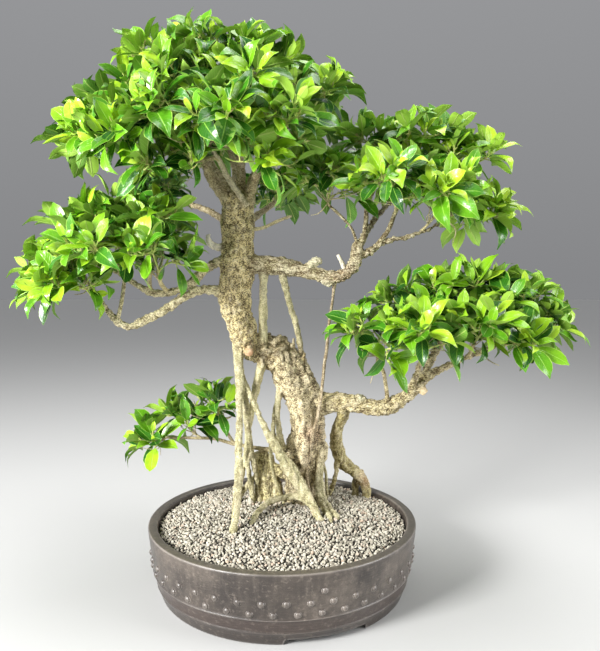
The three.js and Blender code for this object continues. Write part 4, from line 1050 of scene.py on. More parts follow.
def scatter_grains():
    """The bed, the grains and the pebbles, and a shade for each of their points."""
    draw = np.random.default_rng(401)
    roots = root_places()
    parts = [make_bed()]
    shades = [np.zeros(len(parts[0][0]))]
    for k in range(GRAINS):
        radius = (BED_RADIUS - ROOM_AT_WALL) * math.sqrt((k + 0.5) / GRAINS)
        turn = k * GOLDEN_ANGLE
        shake = draw.uniform(-GRAIN_SHAKE, GRAIN_SHAKE, 2)
        x, y = np.array([radius * math.cos(turn), radius * math.sin(turn)]) + shake
        if np.any(np.hypot(roots[:, 0] - x, roots[:, 1] - y) < roots[:, 2] + ROOM_AT_ROOTS):
            continue
        size = draw.uniform(*GRAIN_SIZES)
        height = bed_height(x, y) + draw.uniform(*GRAIN_LIFTS)
        parts.append((broken_stone(draw, size, 0.75) + (x, y, height), BALL_FACES))
        shade = DARKEST_GRAIN + (1 - DARKEST_GRAIN) * draw.beta(2.2, 1.8)
        shades.append(np.full(len(BALL_POINTS), shade))
    for x, y, length in PEBBLES:
        height = bed_height(x, y) + length * 0.16
        parts.append((broken_stone(draw, length * 1.15, 0.66) + (x, y, height), BALL_FACES))
        shades.append(np.full(len(BALL_POINTS), draw.uniform(*PEBBLE_SHADES)))
    return parts, np.concatenate(shades)


grain_parts, grain_shades = scatter_grains()
grit_points, grit_faces = join_parts(grain_parts)
grit_mesh = make_mesh("loose_grit", grit_points, grit_faces, smooth=False)
store_values(grit_mesh, "shade", grain_shades)
add_piece("loose_grit", grit_mesh, "grit")
print("grains and pebbles:", len(grain_parts) - 1)

# %% [markdown]
# ### Broken stone
#
# Each grain has its own shade, stored on its points: mostly a light greyish beige, some nearly
# white and some dark, with a few warm ones. The bed under them is nearly black, because hardly any
# light gets down between grains. Crystals add finer spots, and the surface stays matt.

# %% Mix the stone
STONE_TONES = ((0.0, (30, 27, 24)), (0.08, (84, 77, 68)), (0.3, (150, 143, 128)), (0.55, (188, 182, 165)),
               (0.8, (212, 206, 190)), (0.93, (196, 172, 150)), (1.0, (234, 230, 218)))

stone, stone_shader = new_material("broken_stone")
stone_spots = noise_at(stone, object_place(stone), 700, 3, 0.7)
stone_colour = toned_ramp(stone, stored(stone, "shade"), STONE_TONES)
stone_colour = layered(stone, stone_colour, (
    (stone_spots, 0.5, 0.66, 0.5, (104, 97, 84)),
    (stone_spots, 0.44, 0.32, 0.35, (240, 236, 224)),
))
fill_sockets(stone, stone_shader, {
    "Base Color": stone_colour,
    "Roughness": 0.86,
    "Normal": bumps(stone, [(stone_spots, 0.0006, 0.6)]),
})
grit_mesh.materials.append(stone)
print("stone nodes:", len(stone.node_tree.nodes))

# %% [markdown]
# ## The wood
#
# Trunks, branches and aerial roots of a banyan grow into one another, so they are one piece with
# soft collars where they meet. A subdivided cage could be modelled for that. Fusing tubes with
# the Remesh modifier is simpler, because each limb stays a line that can be nudged. Thin twigs
# are finer than the remesh can hold, so they are laid as clean tubes afterwards.
#
# A thick limb isn't round: its girth swells and sinks in long ribs, most of all on the old lower
# trunk, where roots have fused into it.

# %% Choose how each kind of limb looks: colour, share of dark specks, share of ribs
WOOD_KINDS = {
    "upper_trunk": ((226, 206, 146), 1.0, 0.08),
    "lower_trunk": ((222, 206, 162), 1.0, 0.15),
    # Branch c is toned darker than its lit bark, as painted shade.
    "branch_c": ((148, 137, 100), 1.0, 0.12),
    "branch_d": ((190, 176, 126), 0.95, 0.10),
    "branch": ((214, 204, 156), 0.8, 0.09),
    "low_branch": ((182, 168, 128), 0.3, 0.04),
    "root_arch": ((176, 164, 100), 0.65, 0.15),
    "root_thin": ((156, 138, 108), 0.5, 0.05),
    "root": ((186, 181, 136), 0.4, 0.10),
    # The straight root is toned paler than the other roots, as painted light on a root that the trunk shades.
    "root_straight": ((222, 215, 166), 0.3, 0.10),
    "root_slanted": ((204, 198, 150), 0.45, 0.10),
    "stump": ((224, 214, 152), 0.75, 0.16),
    "crown": ((202, 184, 140), 0.55, 0.12),
    "crown_strap": ((208, 196, 164), 0.25, 0.12),
    "back": ((170, 152, 114), 0.6, 0.07),
    "dead_stub": ((230, 224, 204), 0.15, 0.12),
    "bare_twig": ((200, 188, 144), 0.25, 0.04),
    "sawn_stub": ((226, 168, 128), 0.0, 0.02),
    "sawn_knob": ((216, 190, 146), 0.1, 0.02),
    "twig": ((200, 186, 136), 0.2, 0.03),
    "shard": ((172, 152, 106), 0.8, 0.12),
    "burr": ((216, 212, 180), 0.5, 0.2),
}


def by_name(table, name, otherwise=None):
    """The table's entry for the longest of its keys that the name starts with."""
    fitting = [key for key in table if name.startswith(key)]
    return table[max(fitting, key=len)] if fitting else otherwise


# %% Add the splinters of the lower trunk's broken top, and the warty burrs on branches
SHARDS = {
    "shard_left": [(-12, 27, 352, 16), (-18, 26, 366, 11), (-21, 26, 377, 4)],
    "shard_middle": [(-2, 22, 348, 14), (-4, 18, 360, 9), (-5, 16, 370, 3.5)],
    "shard_right": [(12, 26, 340, 15), (15, 24, 356, 10), (16, 24, 368, 3.5)],
    "shard_back": [(4, 40, 344, 15), (2, 42, 360, 9), (0, 43, 370, 4)],
    "shard_low": [(26, 22, 322, 12), (31, 18, 338, 7), (33, 17, 347, 3)],
    "burr_above": [(40, 4, 476, 15), (52, 0, 486, 13), (59, -1, 484, 8)],
    "burr_below": [(60, 0, 460, 14), (70, -3, 453, 11), (77, -4, 455, 7)],
    "burr_left": [(-91, 2, 438, 12), (-102, -2, 446, 8)],
    "burr_right": [(118, 12, 276, 20), (121, 10, 282, 13)],
}
WOODY_LIMBS = {**LIMBS, **SHARDS}

# %% Build one thick limb with ribs and swellings
LIMB_SIDES = 20
RIBS_ROUND = (2, 3, 5)
RIB_DRIFT = 0.012


def limb_tube(name, draw):
    rows = smooth_line(WOODY_LIMBS[name], RING_STEP)
    _, _, rib_share = by_name(WOOD_KINDS, name)
    turns = 2 * np.pi * np.arange(LIMB_SIDES) / LIMB_SIDES
    at = np.arange(len(rows)) * RING_STEP
    girth = rows[:, 3].mean()
    ribs = np.zeros((len(rows), LIMB_SIDES))
    for waves in RIBS_ROUND:
        drift = draw.uniform(0, 2 * np.pi) + at[:, None] * draw.uniform(-RIB_DRIFT, RIB_DRIFT)
        swell = 1 + 0.5 * np.sin(at / (girth * 1.7) + draw.uniform(0, 6))[:, None]
        ribs += draw.uniform(0.5, 1) * np.sin(waves * turns[None, :] + drift) * swell
    knots = 0.05 * np.sin(at / (girth * 0.9) + draw.uniform(0, 6))
    knots += 0.03 * np.sin(at / 9 + draw.uniform(0, 6))
    radii = rows[:, 3][:, None] / 2 * (1 + rib_share * 0.6 * ribs + knots[:, None])
    return tube(rows[:, :3], radii, LIMB_SIDES, draw.uniform(0, 1))


# %% Fuse the thick limbs with a remesh
THIN_LIMB = 7.4
VOXEL = 1.5

grown = np.random.default_rng(811)
thick_limbs = [name for name, rows in WOODY_LIMBS.items() if np.mean([row[3] for row in rows]) >= THIN_LIMB]
thin_limbs = [name for name in WOODY_LIMBS if name not in thick_limbs]
core_points, core_faces = join_parts([limb_tube(name, grown) for name in thick_limbs])
core = bpy.data.objects.new("wood_core", make_mesh("wood_core", core_points, core_faces))
bpy.context.collection.objects.link(core)


def modified_mesh(piece):
    graph = bpy.context.evaluated_depsgraph_get()
    return bpy.data.meshes.new_from_object(piece.evaluated_get(graph))


fusing = core.modifiers.new("fuse", "REMESH")
fusing.mode = "VOXEL"
fusing.voxel_size = VOXEL * MM
softening = core.modifiers.new("soften", "SMOOTH")
softening.factor = 0.5
softening.iterations = 5
fused = modified_mesh(core)
print("fused faces:", len(fused.polygons))

# %% Thin out the mesh where the wood is plain
WOOD_TRIANGLES = 155_000

thinning = core.modifiers.new("thin", "DECIMATE")
thinning.ratio = min(1, WOOD_TRIANGLES / (2 * len(fused.polygons)))
core_mesh = modified_mesh(core)
bpy.data.objects.remove(core)
print("thinned faces:", len(core_mesh.polygons))

# %% [markdown]
# ### Bark relief
#
# The bark of the upper trunk is covered with small crusty warts. The lower trunk is knobbly, with
# long furrows towards its foot, and its broken top is jagged. The roots are smoother. Folded noise,
# which has rounded crests and sharp creases, moves each point along its normal, more on thick wood
# than on thin. What it did is kept for the colours: creases get painted shade and crests a painted
# highlight.

# %% Read off every limb's line, for the points of wood near it to take its colour from
LIMB_REACH = 1.3
CUT_WOOD_REACH = 0.5


def line_samples():
    """Places along every limb, with the diameter, reach, specks and colour of each."""
    places, values = [], []
    for name, rows in WOODY_LIMBS.items():
        colour, specks, _ = by_name(WOOD_KINDS, name)
        reach = CUT_WOOD_REACH if name.startswith("sawn") else LIMB_REACH
        for x, y, z, diameter in smooth_line(rows, RING_STEP):
            places.append((x, y, z))
            values.append((diameter, reach, specks, *tone(*colour)[:3]))
    return np.array(places, np.float32), np.array(values, np.float32)


# %% List the stains and the patches of painted shade on the bark: middle, how far each reaches, tone, share
STAINS_AND_PAINTED_SHADE = (
    # Dark brown on the link between the trunks: partly its own bark and partly painted shade.
    ((-28, 16, 344), 26, (96, 78, 50), 0.7),
    ((-6, 14, 352), 20, (110, 96, 62), 0.5),
    ((48, 12, 222), 28, (196, 148, 124), 0.55),
    # A near-black spot: painted shade of a hollow in the lower trunk.
    ((52, 14, 281), 9, (34, 26, 16), 0.95),
    ((40, 8, 176), 22, (188, 150, 124), 0.45),
    ((136, 92, 128), 22, (168, 118, 92), 0.6),
    ((-60, -12, 600), 12, (60, 46, 28), 0.9),
    ((90, -12, 462), 26, (150, 116, 88), 0.6),
    ((30, 0, 470), 16, (120, 104, 70), 0.5),
    ((0, -4, 468), 20, (232, 226, 188), 0.5),
    ((-50, -4, 357), 11, (120, 70, 46), 0.8),
    # A dark patch at the foot of the lower trunk: painted shade in its crevice.
    ((20, 20, 150), 16, (70, 56, 36), 0.7),
    ((-36, 30, 192), 14, (96, 84, 48), 0.6),
)


# %% Give each point its girth, specks and colour
POINTS_AT_ONCE = 3000
PATCH_EDGE = 1.6


def blend_limbs(points):
    """Girth, specks and colour at each point, blended over the limbs whose surface is near."""
    places, values = line_samples()
    blended = []
    for chunk in np.array_split(np.asarray(points, np.float32), max(1, len(points) // POINTS_AT_ONCE)):
        squares = (chunk**2).sum(1)[:, None] + (places**2).sum(1)[None, :] - 2 * chunk @ places.T
        gaps = np.maximum(np.sqrt(np.maximum(squares, 0)) - values[:, 0] / 2, 0)
        weights = values[:, 0] * np.exp(-gaps / values[:, 1]) + 1e-12
        mixed_values = weights @ values / weights.sum(1)[:, None]
        blended.append(mixed_values[:, [0, 2, 3, 4, 5]])
    blended = np.concatenate(blended).astype(float)
    # Lay the stains and the patches of painted shade over the blended colour.
    for place, reach, patch_tone, share in STAINS_AND_PAINTED_SHADE:
        distances = np.linalg.norm(points - np.array(place), axis=1)
        nearness = np.clip(PATCH_EDGE * (1 - distances / reach), 0, 1)
        blended[:, 2:] += (np.array(tone(*patch_tone)[:3]) - blended[:, 2:]) * share * nearness[:, None]
    return blended


# %% Work out the relief of the bark
BROKEN_TOP = np.array([2.0, 29.0, 352.0])
BROKEN_REACH = 34
BROKEN_RELIEF = 9
FURROWS_BELOW = 300
FURROWS_GROW_OVER = 120


def folded(place):
    """Noise with rounded crests and sharp creases: -0.45 in a crease and 0.55 on a crest."""
    return min(1, 2.4 * abs(noise.noise(place))) - 0.45


def bark_relief(point, specks, girth):
    """How far the bark stands out in millimetres, where it lies between crease and crest for the painted
    shade and highlight, and how broken it is.
    """
    x, y, z = point
    place = Vector(point)
    lumps = noise.noise(place / (girth * 0.5 + 4)) * girth * 0.07
    warts = folded(place / 8.5)
    crust = folded(place / 4.2 + Vector((7, 3, 5)))
    creases = folded(Vector((x / 14, y / 14, z / 4.5)))
    furrows = folded(Vector((x / 10, y / 10, z / 55)))
    lowness = min(max((FURROWS_BELOW - z) / FURROWS_GROW_OVER, 0), 1)
    relief = lumps + warts * (0.5 + 1.9 * specks) + crust * (0.35 + 1.3 * specks)
    relief += creases * girth * 0.028 * (1 - lowness) + furrows * girth * 0.1 * lowness
    broken = max(0, 1 - math.dist(point, BROKEN_TOP) / BROKEN_REACH)
    relief += broken * BROKEN_RELIEF * noise.noise(Vector((x / 7, y / 7, z / 16)))
    crest_to_crease = warts * 0.5 + crust * 0.6 + creases * 0.3 * (1 - lowness) + furrows * lowness
    return relief, crest_to_crease, broken


# %% Raise the bark
core_places = np.empty(len(core_mesh.vertices) * 3, np.float32)
core_mesh.vertices.foreach_get("co", core_places)
core_points = (core_places.reshape(-1, 3) - POT_MIDDLE) / MM
core_normals = np.array([vertex.normal for vertex in core_mesh.vertices])
core_looks = blend_limbs(core_points)
core_relief = np.array([bark_relief(p, look[1], look[0]) for p, look in zip(core_points, core_looks)])
core_points = core_points + core_normals * core_relief[:, :1]
core_faces = [tuple(face.vertices) for face in core_mesh.polygons]
print("bark relief in mm:", core_relief[:, 0].min().round(2), core_relief[:, 0].max().round(2))

# %% [markdown]
# ### Thin branches and bare twigs
#
# Twigs are nearly round, slightly knobbly at the old leaf scars, and thinner towards the tip. Each
# spray hangs on one twig that curves out of its limb. Small bare twiglets fill the inside of the
# tiers, where the leaves have long dropped.

# %% Make a line wander, and its girth swell at old leaf scars
SCAR_SPACINGS = (2.2, 3.4)
SCAR_SWELL = 0.13
DRIFT_SWELL = 0.05
DRIFT_SPACING = 17

# Noise vectors start from the clock unless they get a seed, and each run would bend the twigs anew.
noise.seed_set(23)


def wandering(rows, width, most):
    """Small sideways steps for each row, which change over that width."""
    return np.array([noise.noise_vector(Vector(row[:3]) / width) for row in rows]) * most


def knobbly(radii, step, draw):
    """Radii with a small ring-shaped scar every so often."""
    at = np.arange(len(radii)) * step
    scars = np.maximum(0, np.sin(at / draw.uniform(*SCAR_SPACINGS) + draw.uniform(0, 6))) ** 6
    drift = np.sin(at / DRIFT_SPACING + draw.uniform(0, 6))
    return radii * (1 + SCAR_SWELL * scars + DRIFT_SWELL * drift)


# %% Lay thin limbs and twigs as tubes
TWIG_SIDES = 9
COLLAR_SWELL = 0.25
COLLAR_RINGS = 1.5


def thin_tube(name, draw):
    rows = smooth_line(WOODY_LIMBS[name], RING_STEP)
    wander = wandering(rows, 24, 1.2)
    wander[0] = 0
    radii = knobbly(rows[:, 3] / 2, RING_STEP, draw)
    return tube(rows[:, :3] + wander, radii, TWIG_SIDES)


def twig_tube(twig, draw):
    """A twig that carries a spray, with a collar where it leaves its limb."""
    taper = np.linspace(twig["thick"], twig["thin"], len(twig["line"]))
    line = smooth_line(np.column_stack([twig["line"], taper]), RING_STEP)
    wander = wandering(line, 20, 1)
    wander[0] = 0
    wander[-1] = 0
    collar = 1 + COLLAR_SWELL * np.exp(-np.arange(len(line)) / COLLAR_RINGS)
    radii = knobbly(line[:, 3] / 2 * collar, RING_STEP, draw)
    return tube(line[:, :3] + wander, radii, TWIG_SIDES)


# %% Add bare twiglets inside the tiers
TWIGLETS_PER_TWIG = 8
TWIGLET_LENGTHS = (26, 62)
TWIGLET_DIAMETERS = (1.5, 2.4)
TWIGLET_SIDES = 5
TWIGLET_STEP = 8
AIM_SHAKE = 26
BEND_SHAKE = 5


def twiglet(twig, draw):
    """It leaves the outer two thirds of its twig and aims at about the middle of the spray."""
    start = twig["line"][draw.integers(3, TWIG_STEPS + 1)]
    aim = twig["middle"] + draw.normal(0, AIM_SHAKE, 3) - start
    length = min(np.linalg.norm(aim), draw.uniform(*TWIGLET_LENGTHS))
    end = start + unit(aim) * length
    bend = start + unit(aim) * length * 0.5 + draw.normal(0, BEND_SHAKE, 3)
    thick = draw.uniform(*TWIGLET_DIAMETERS)
    rows = [(*start, thick), (*bend, thick * 0.8), (*end, thick * 0.45)]
    rows = smooth_line(rows, TWIGLET_STEP)
    return tube(rows[:, :3], rows[:, 3] / 2, TWIGLET_SIDES)


thin_parts = [(thin_tube(name, grown), name) for name in thin_limbs]
for name, twig in TWIGS.items():
    thin_parts.append((twig_tube(twig, grown), "twig"))
    for _ in range(TWIGLETS_PER_TWIG):
        thin_parts.append((twiglet(twig, grown), "bare_twig"))
print("thin limbs, twigs and twiglets:", len(thin_parts))

# %% Put the wood together, and store its colour, specks, relief and moss on its points
wood_points, wood_faces = join_parts([(core_points, core_faces)] + [part for part, _ in thin_parts])
wood_colours = core_looks[:, 2:].tolist()
wood_values = {
    "specks": core_looks[:, 1].tolist(),
    "relief": np.clip(core_relief[:, 1] * 1.6, -1, 1).tolist(),
    "moss": core_relief[:, 2].tolist(),
}
for (points, _), name in thin_parts:
    colour, specks, _ = by_name(WOOD_KINDS, name)
    wood_colours += [tone(*colour)[:3]] * len(points)
    for key, value in (("specks", specks), ("relief", 0), ("moss", 0)):
        wood_values[key] += [value] * len(points)
wood_mesh = make_mesh("banyan_wood", wood_points, wood_faces)
store_colours(wood_mesh, "wood_tone", wood_colours)
for key, values in wood_values.items():
    store_values(wood_mesh, key, values)
add_piece("banyan_wood", wood_mesh, "wood")
print("wood faces:", len(wood_faces))

# %% [markdown]
# ### Bark
#
# Banyan bark is pale and greyish cream, mottled with dark brown on the trunks, with fine level
# lines of pores and a green tinge on the roots. The stored colour of each limb, with its stains
# and patches of painted shade, is the base. Noise of several sizes lays the mottling over it,
# creases get painted shade and crests a painted highlight, and a dark mossy tone covers the broken
# top of the lower trunk.

# %% Lay out the bark's patterns
bark, bark_shader = new_material("banyan_bark")
bark_place = object_place(bark)
pore_place = stretched(bark, bark_place, 1.7)
bark_patches = noise_at(bark, bark_place, 36, 5, 0.6)
bark_mottling = noise_at(bark, bark_place, 110, 6, 0.66)
bark_specks = noise_at(bark, pore_place, 400, 5, 0.66)
bark_pores = noise_at(bark, pore_place, 150, 4, 0.6)
bark_crust = times(bark, bark_specks, times(bark, bark_mottling, 0.5), "ADD")
crease_shade_and_crest_highlight = stored(bark, "relief")


def by_specks(most):
    """A share that grows to the given one on the limbs with the most dark specks."""
    return between(bark, stored(bark, "specks"), 0, 1, 0.15, most)


# %% Mix the bark
bark_colour = layered(bark, stored(bark, "wood_tone", "Color"), (
    (bark_patches, 0.5, 0.7, 0.45, (168, 158, 104)),
    (bark_patches, 0.46, 0.3, 0.3, (236, 226, 200)),
    (bark_mottling, 0.46, 0.3, 0.36, (246, 236, 202)),
    (bark_mottling, 0.48, 0.68, by_specks(0.55), (128, 104, 62)),
    (bark_crust, 0.71, 0.81, by_specks(0.95), (78, 61, 30)),
    (bark_specks, 0.46, 0.36, 0.6, (246, 234, 196)),
    (bark_pores, 0.6, 0.72, 0.3, (118, 100, 64)),
    # Painted shade in the creases of the relief, and a painted highlight on its crests.
    (crease_shade_and_crest_highlight, -0.2, -0.85, by_specks(0.75), (62, 47, 26)),
    (crease_shade_and_crest_highlight, 0.1, 0.8, 0.3, (246, 234, 200)),
    (stored(bark, "moss"), 0.05, 0.6, 0.5, (96, 86, 50)),
))
fill_sockets(bark, bark_shader, {
    "Base Color": bark_colour,
    "Roughness": 0.7,
    "Normal": bumps(bark, (
        (bark_mottling, -0.004, 0.8),
        (bark_specks, -0.0018, 0.8),
        (bark_pores, -0.0012, 0.5),
    )),
})
wood_mesh.materials.append(bark)
print("bark nodes:", len(bark.node_tree.nodes))

# %% [markdown]
# ## A leaf
#
# A leaf of this fig is a leathery ellipse up to about 53 mm long and a little under half as wide,
# with a short narrow tip that often curls, a pale sunken midrib and a thin stalk. Its two halves
# fold up a little from the midrib, and the whole blade sags under its weight.
#
# Flat cards with a picture would look thin from the side. Instead each leaf is one closed skin: a
# flattened tube whose rings run from the stalk's foot through the blade to the tip. Four of a
# ring's six sides make the glossy face, and the other two the dull underside.

# %% Draw the leaf's outline, as shares of its length and half width, and the ring swept along it
STALK_RINGS = (0.0, 0.55)
BLADE_RINGS = ((0.0, 0.12), (0.08, 0.46), (0.23, 0.84), (0.44, 1.0), (0.64, 0.96), (0.80, 0.72),
               (0.91, 0.32), (1.0, 0.05))
RING_ACROSS = np.array([1, 0.5, 0, -0.5, -1, 0])
RING_UPPER = np.array([0, 1, 1, 1, 0, -1])
RING_TURNS = np.radians([0, 45, 90, 135, 180, 270])
RING_SIDES = len(RING_ACROSS)
UPPER, UNDER, STALK = 0, 1, 2


def leaf_faces():
    """The faces of one leaf, the material of each, and the place on the leaf of each ring point."""
    faces = tube_faces(len(STALK_RINGS) + len(BLADE_RINGS), RING_SIDES)
    stalk_looks = [STALK] * RING_SIDES * len(STALK_RINGS)
    blade_looks = [UPPER, UPPER, UPPER, UPPER, UNDER, UNDER] * (len(BLADE_RINGS) - 1)
    looks = [STALK] + stalk_looks + blade_looks + [UPPER]
    lengthwise = [0] * len(STALK_RINGS) + [share for share, _ in BLADE_RINGS]
    places = [(0.5 - across / 2, share) for share in lengthwise for across in RING_ACROSS]
    return faces, looks, places


LEAF_FACES, LEAF_LOOKS, LEAF_PLACES = leaf_faces()
print("faces of one leaf:", len(LEAF_FACES))

# %% Shape one leaf, in millimetres
LEAF_LENGTH = 46
LEAF_HALF_WIDTH = 10.6
BLADE_HALF_THICKNESS = 0.28
STALK_LENGTH = 9
STALK_RADIUS = 0.85
STALK_DIP = 0.8
TIP_CURLS_FROM = 0.72


def leaf_points(seat, outwards, normal, length, breadth, fold, sag, curl, twist):
    """seat is where the stalk leaves the stem. normal is the way that the glossy face looks."""
    left = unit(np.cross(normal, outwards))
    size = length / LEAF_LENGTH
    half_width = LEAF_HALF_WIDTH * size * breadth
    stalk = STALK_LENGTH * size
    rings = []
    for share in STALK_RINGS:
        place = seat + outwards * stalk * share - normal * STALK_DIP * math.sin(math.pi * share)
        radius = STALK_RADIUS * size * (1.25 - 0.35 * share)
        spokes = np.cos(RING_TURNS)[:, None] * left + np.sin(RING_TURNS)[:, None] * normal
        rings.append(place + radius * spokes)
    blade_start = seat + outwards * stalk
    for share, width in BLADE_RINGS:
        bend = sag * share * share + curl * max(0, share - TIP_CURLS_FROM) ** 2 * 4
        middle = blade_start + outwards * length * share * (1 - 0.3 * sag * share) - normal * length * bend
        lift = unit(normal + outwards * 2 * sag * share)
        turned = twist * share
        across = left * math.cos(turned) + lift * math.sin(turned)
        lift = lift * math.cos(turned) - left * math.sin(turned)
        reach = half_width * width * RING_ACROSS
        rise = fold * np.abs(reach) + RING_UPPER * BLADE_HALF_THICKNESS * (0.4 + 0.6 * width)
        wave = 0.035 * half_width * np.sin(share * 11 + np.sign(RING_ACROSS) * 1.3) * np.abs(RING_ACROSS)
        rings.append(middle + reach[:, None] * across + (rise + wave)[:, None] * lift)
    return np.concatenate(rings)


# %% [markdown]
# ## A leafy spray
#
# The twig's foot carries a small shoot that forks again and again. Each fork ends in a rosette:
# leaves stand round the shoot at the golden angle, the youngest small and upright at the tip, the
# older ones lower, wider spread and drooping, and the tip itself is a slim pointed bud.
#
# The shoot ends are spread evenly over the spray's outside by the same rule as in the solid
# model, so the leaves stay where the solid leaves are. Each end grows from a point of the shoots
# that are there already. It takes a near one that is also a short way from the twig's foot, which
# gives natural forks. No shoot ends higher than the top of the real crown.

# %% Spread the shoot ends over the outside of a spray
GOLDEN_SHARE = (math.sqrt(5) - 1) / 2
TIP_REACH = 5
UPRIGHT = 0.999


def shoot_end(twig, half_size, k):
    """The end of shoot number k, and the direction it points in."""
    outward = unit(twig["foot_direction"] + UP * 0.25)
    # On an upright twig no sideways direction looks up, so the one that looks backwards is taken.
    upright = outward[2] > UPRIGHT
    upward = BACKWARDS if upright else unit(UP - outward * UP.dot(outward))
    sideways = np.cross(outward, upward)
    tilt = math.acos(1 - 1.55 * ((k * GOLDEN_SHARE) % 1))
    turn = (k - 1) * GOLDEN_ANGLE
    spread = outward * math.cos(tilt) + math.sin(tilt) * (upward * math.cos(turn) + sideways * math.sin(turn))
    point = twig["middle"] + spread * (half_size + TIP_REACH)
    direction = unit(spread * 0.55 + UP * 0.45 + unit(point - twig["foot"]) * 0.35)
    return point, direction


# %% Grow the shoots
SHOOT_STEPS = 8
FORKS_AT = (2, 3, 4, 5)
HIGHEST_SHOOT = 788
SHOOT_SHAKE = (6, 6, 3.5)
DIRECTION_SHAKE = 0.16
COST_OF_LENGTH = 0.45


def grow_shoots(twig, half_size, count, draw):
    """The middle line of each shoot, from its fork to the base of its bud, and the bud's direction."""
    start = twig["foot"]
    shoots = []
    grown_points = [(start, twig["foot_direction"], 0)]
    for k in range(count):
        end, direction = shoot_end(twig, half_size, k)
        end = end + draw.normal(0, SHOOT_SHAKE)
        end[2] = min(end[2], HIGHEST_SHOOT)
        direction = unit(direction + draw.normal(0, DIRECTION_SHAKE, 3))
        costs = [math.dist(end, place) + COST_OF_LENGTH * length for place, _, length in grown_points]
        fork, fork_direction, fork_length = grown_points[int(np.argmin(costs))]
        leave = unit(fork_direction + unit(end - fork) * 1.2)
        line = bent_line(fork, leave, end, direction, SHOOT_STEPS)
        shoots.append((line, direction))
        steps = np.linalg.norm(np.diff(line, axis=0), axis=1).cumsum()
        for i in FORKS_AT:
            grown_points.append((line[i], unit(line[i + 1] - line[i]), fork_length + steps[i - 1]))
    return shoots


# %% Give each shoot its skin, and a pointed bud at its tip
FIRST_SHOOT_THICK = 3.6
OTHER_SHOOTS_THICK = 2.88
SHOOT_THIN = 2.1
SHOOT_SIDES = 6
BUD_LENGTH = 10
BUD_PLACES = (0.12, 0.5, 1)
BUD_RADII = (1.25, 0.85, 0.12)


def shoot_tube(line, direction, thick):
    radii = np.linspace(thick, SHOOT_THIN, len(line)) / 2
    bud = [line[-1] + direction * BUD_LENGTH * share for share in BUD_PLACES]
    return tube(np.concatenate([line, bud]), np.concatenate([radii, BUD_RADII]), SHOOT_SIDES)


# %% Keep the fork at the top of the trunk open to view, as it is on the tree
OPEN_LOW = np.array([-112, -190, 552])
OPEN_HIGH = np.array([-26, 6, 622])


def hides_trunk_top(points):
    middle = points.mean(axis=0)
    return bool(np.all(middle > OPEN_LOW) and np.all(middle < OPEN_HIGH))


# %% Set a rosette of leaves round a shoot's tip: size, degrees of rise, millimetres back from the tip
LEAF_AGES = ((0.48, 70, 1.5), (0.66, 58, 3), (0.80, 47, 6), (0.90, 37, 9.5), (0.98, 28, 13.5),
             (0.98, 18, 18), (0.92, 8, 23), (0.86, -4, 29))
MISSING_LEAVES = 0.06
LEAFY_SHARE = 0.85
TURN_SHAKE = 0.25
RISE_SHAKE = 12
ROLL_SHAKE = 0.32
TWIST_SHAKE = 0.22
LEAF_LENGTHS = (0.76, 1.18)
LEAF_BREADTHS = (0.8, 1.22)
LEAF_FOLDS = (0.12, 0.5)
LEAF_SAGS = (0.06, 0.2)
LEAF_CURLS = (-0.4, 0.9)


def rosette(line, direction, draw, freshness_and_shade):
    """Leaves from the youngest to the oldest. Each comes with its tint, from 0 young to 1 old, and darker on
    shaded sprays as painted shade.
    """
    leaves = []
    lengths = np.concatenate([[0], np.linalg.norm(np.diff(line[::-1], axis=0), axis=1).cumsum()])
    spin = draw.uniform(0, 2 * math.pi)
    side = unit(np.cross(direction, [0.31, 0.87, 0.38]))
    other = np.cross(direction, side)
    for age, (size, rise, back) in enumerate(LEAF_AGES):
        if back > lengths[-1] * LEAFY_SHARE or draw.random() < MISSING_LEAVES:
            continue
        seat = np.array([np.interp(back, lengths, line[::-1][:, axis]) for axis in range(3)])
        turn = spin + age * GOLDEN_ANGLE + draw.uniform(-TURN_SHAKE, TURN_SHAKE)
        radial = side * math.cos(turn) + other * math.sin(turn)
        tilt = math.radians(rise + draw.uniform(-RISE_SHAKE, RISE_SHAKE))
        outwards = radial * math.cos(tilt) + direction * math.sin(tilt)
        outwards = unit(outwards - UP * (0.02 + 0.028 * age) * draw.uniform(0.3, 1.7))
        normal = direction * math.cos(tilt) - radial * math.sin(tilt) + UP * 0.35
        normal = unit(normal - outwards * normal.dot(outwards))
        roll = draw.normal(0, ROLL_SHAKE)
        normal = normal * math.cos(roll) + np.cross(outwards, normal) * math.sin(roll)
        length = LEAF_LENGTH * size * draw.uniform(*LEAF_LENGTHS)
        shape = {
            "breadth": draw.uniform(*LEAF_BREADTHS),
            "fold": draw.uniform(*LEAF_FOLDS),
            "sag": draw.uniform(*LEAF_SAGS) + 0.008 * age,
            "curl": draw.uniform(*LEAF_CURLS),
            "twist": draw.normal(0, TWIST_SHAKE),
        }
        points = leaf_points(seat + radial * 0.8, outwards, normal, length, **shape)
        if hides_trunk_top(points):
            continue
        tint = np.clip(age / 7 * 0.9 + draw.normal(0.2, 0.2) - freshness_and_shade * 0.35, 0, 1)
        leaves.append((points, tint))
    return leaves


# %% [markdown]
# Sprays differ in age and fullness. The outer ends of the tiers have fresh yellow-green leaves.
# The sprays at the rear lie in shade, and their leaves are given darker tints as painted shade.
# Three sprays at the rear have to fill a wide side of the tree, so they get more shoots for their
# size, and the low tiers get fewer.

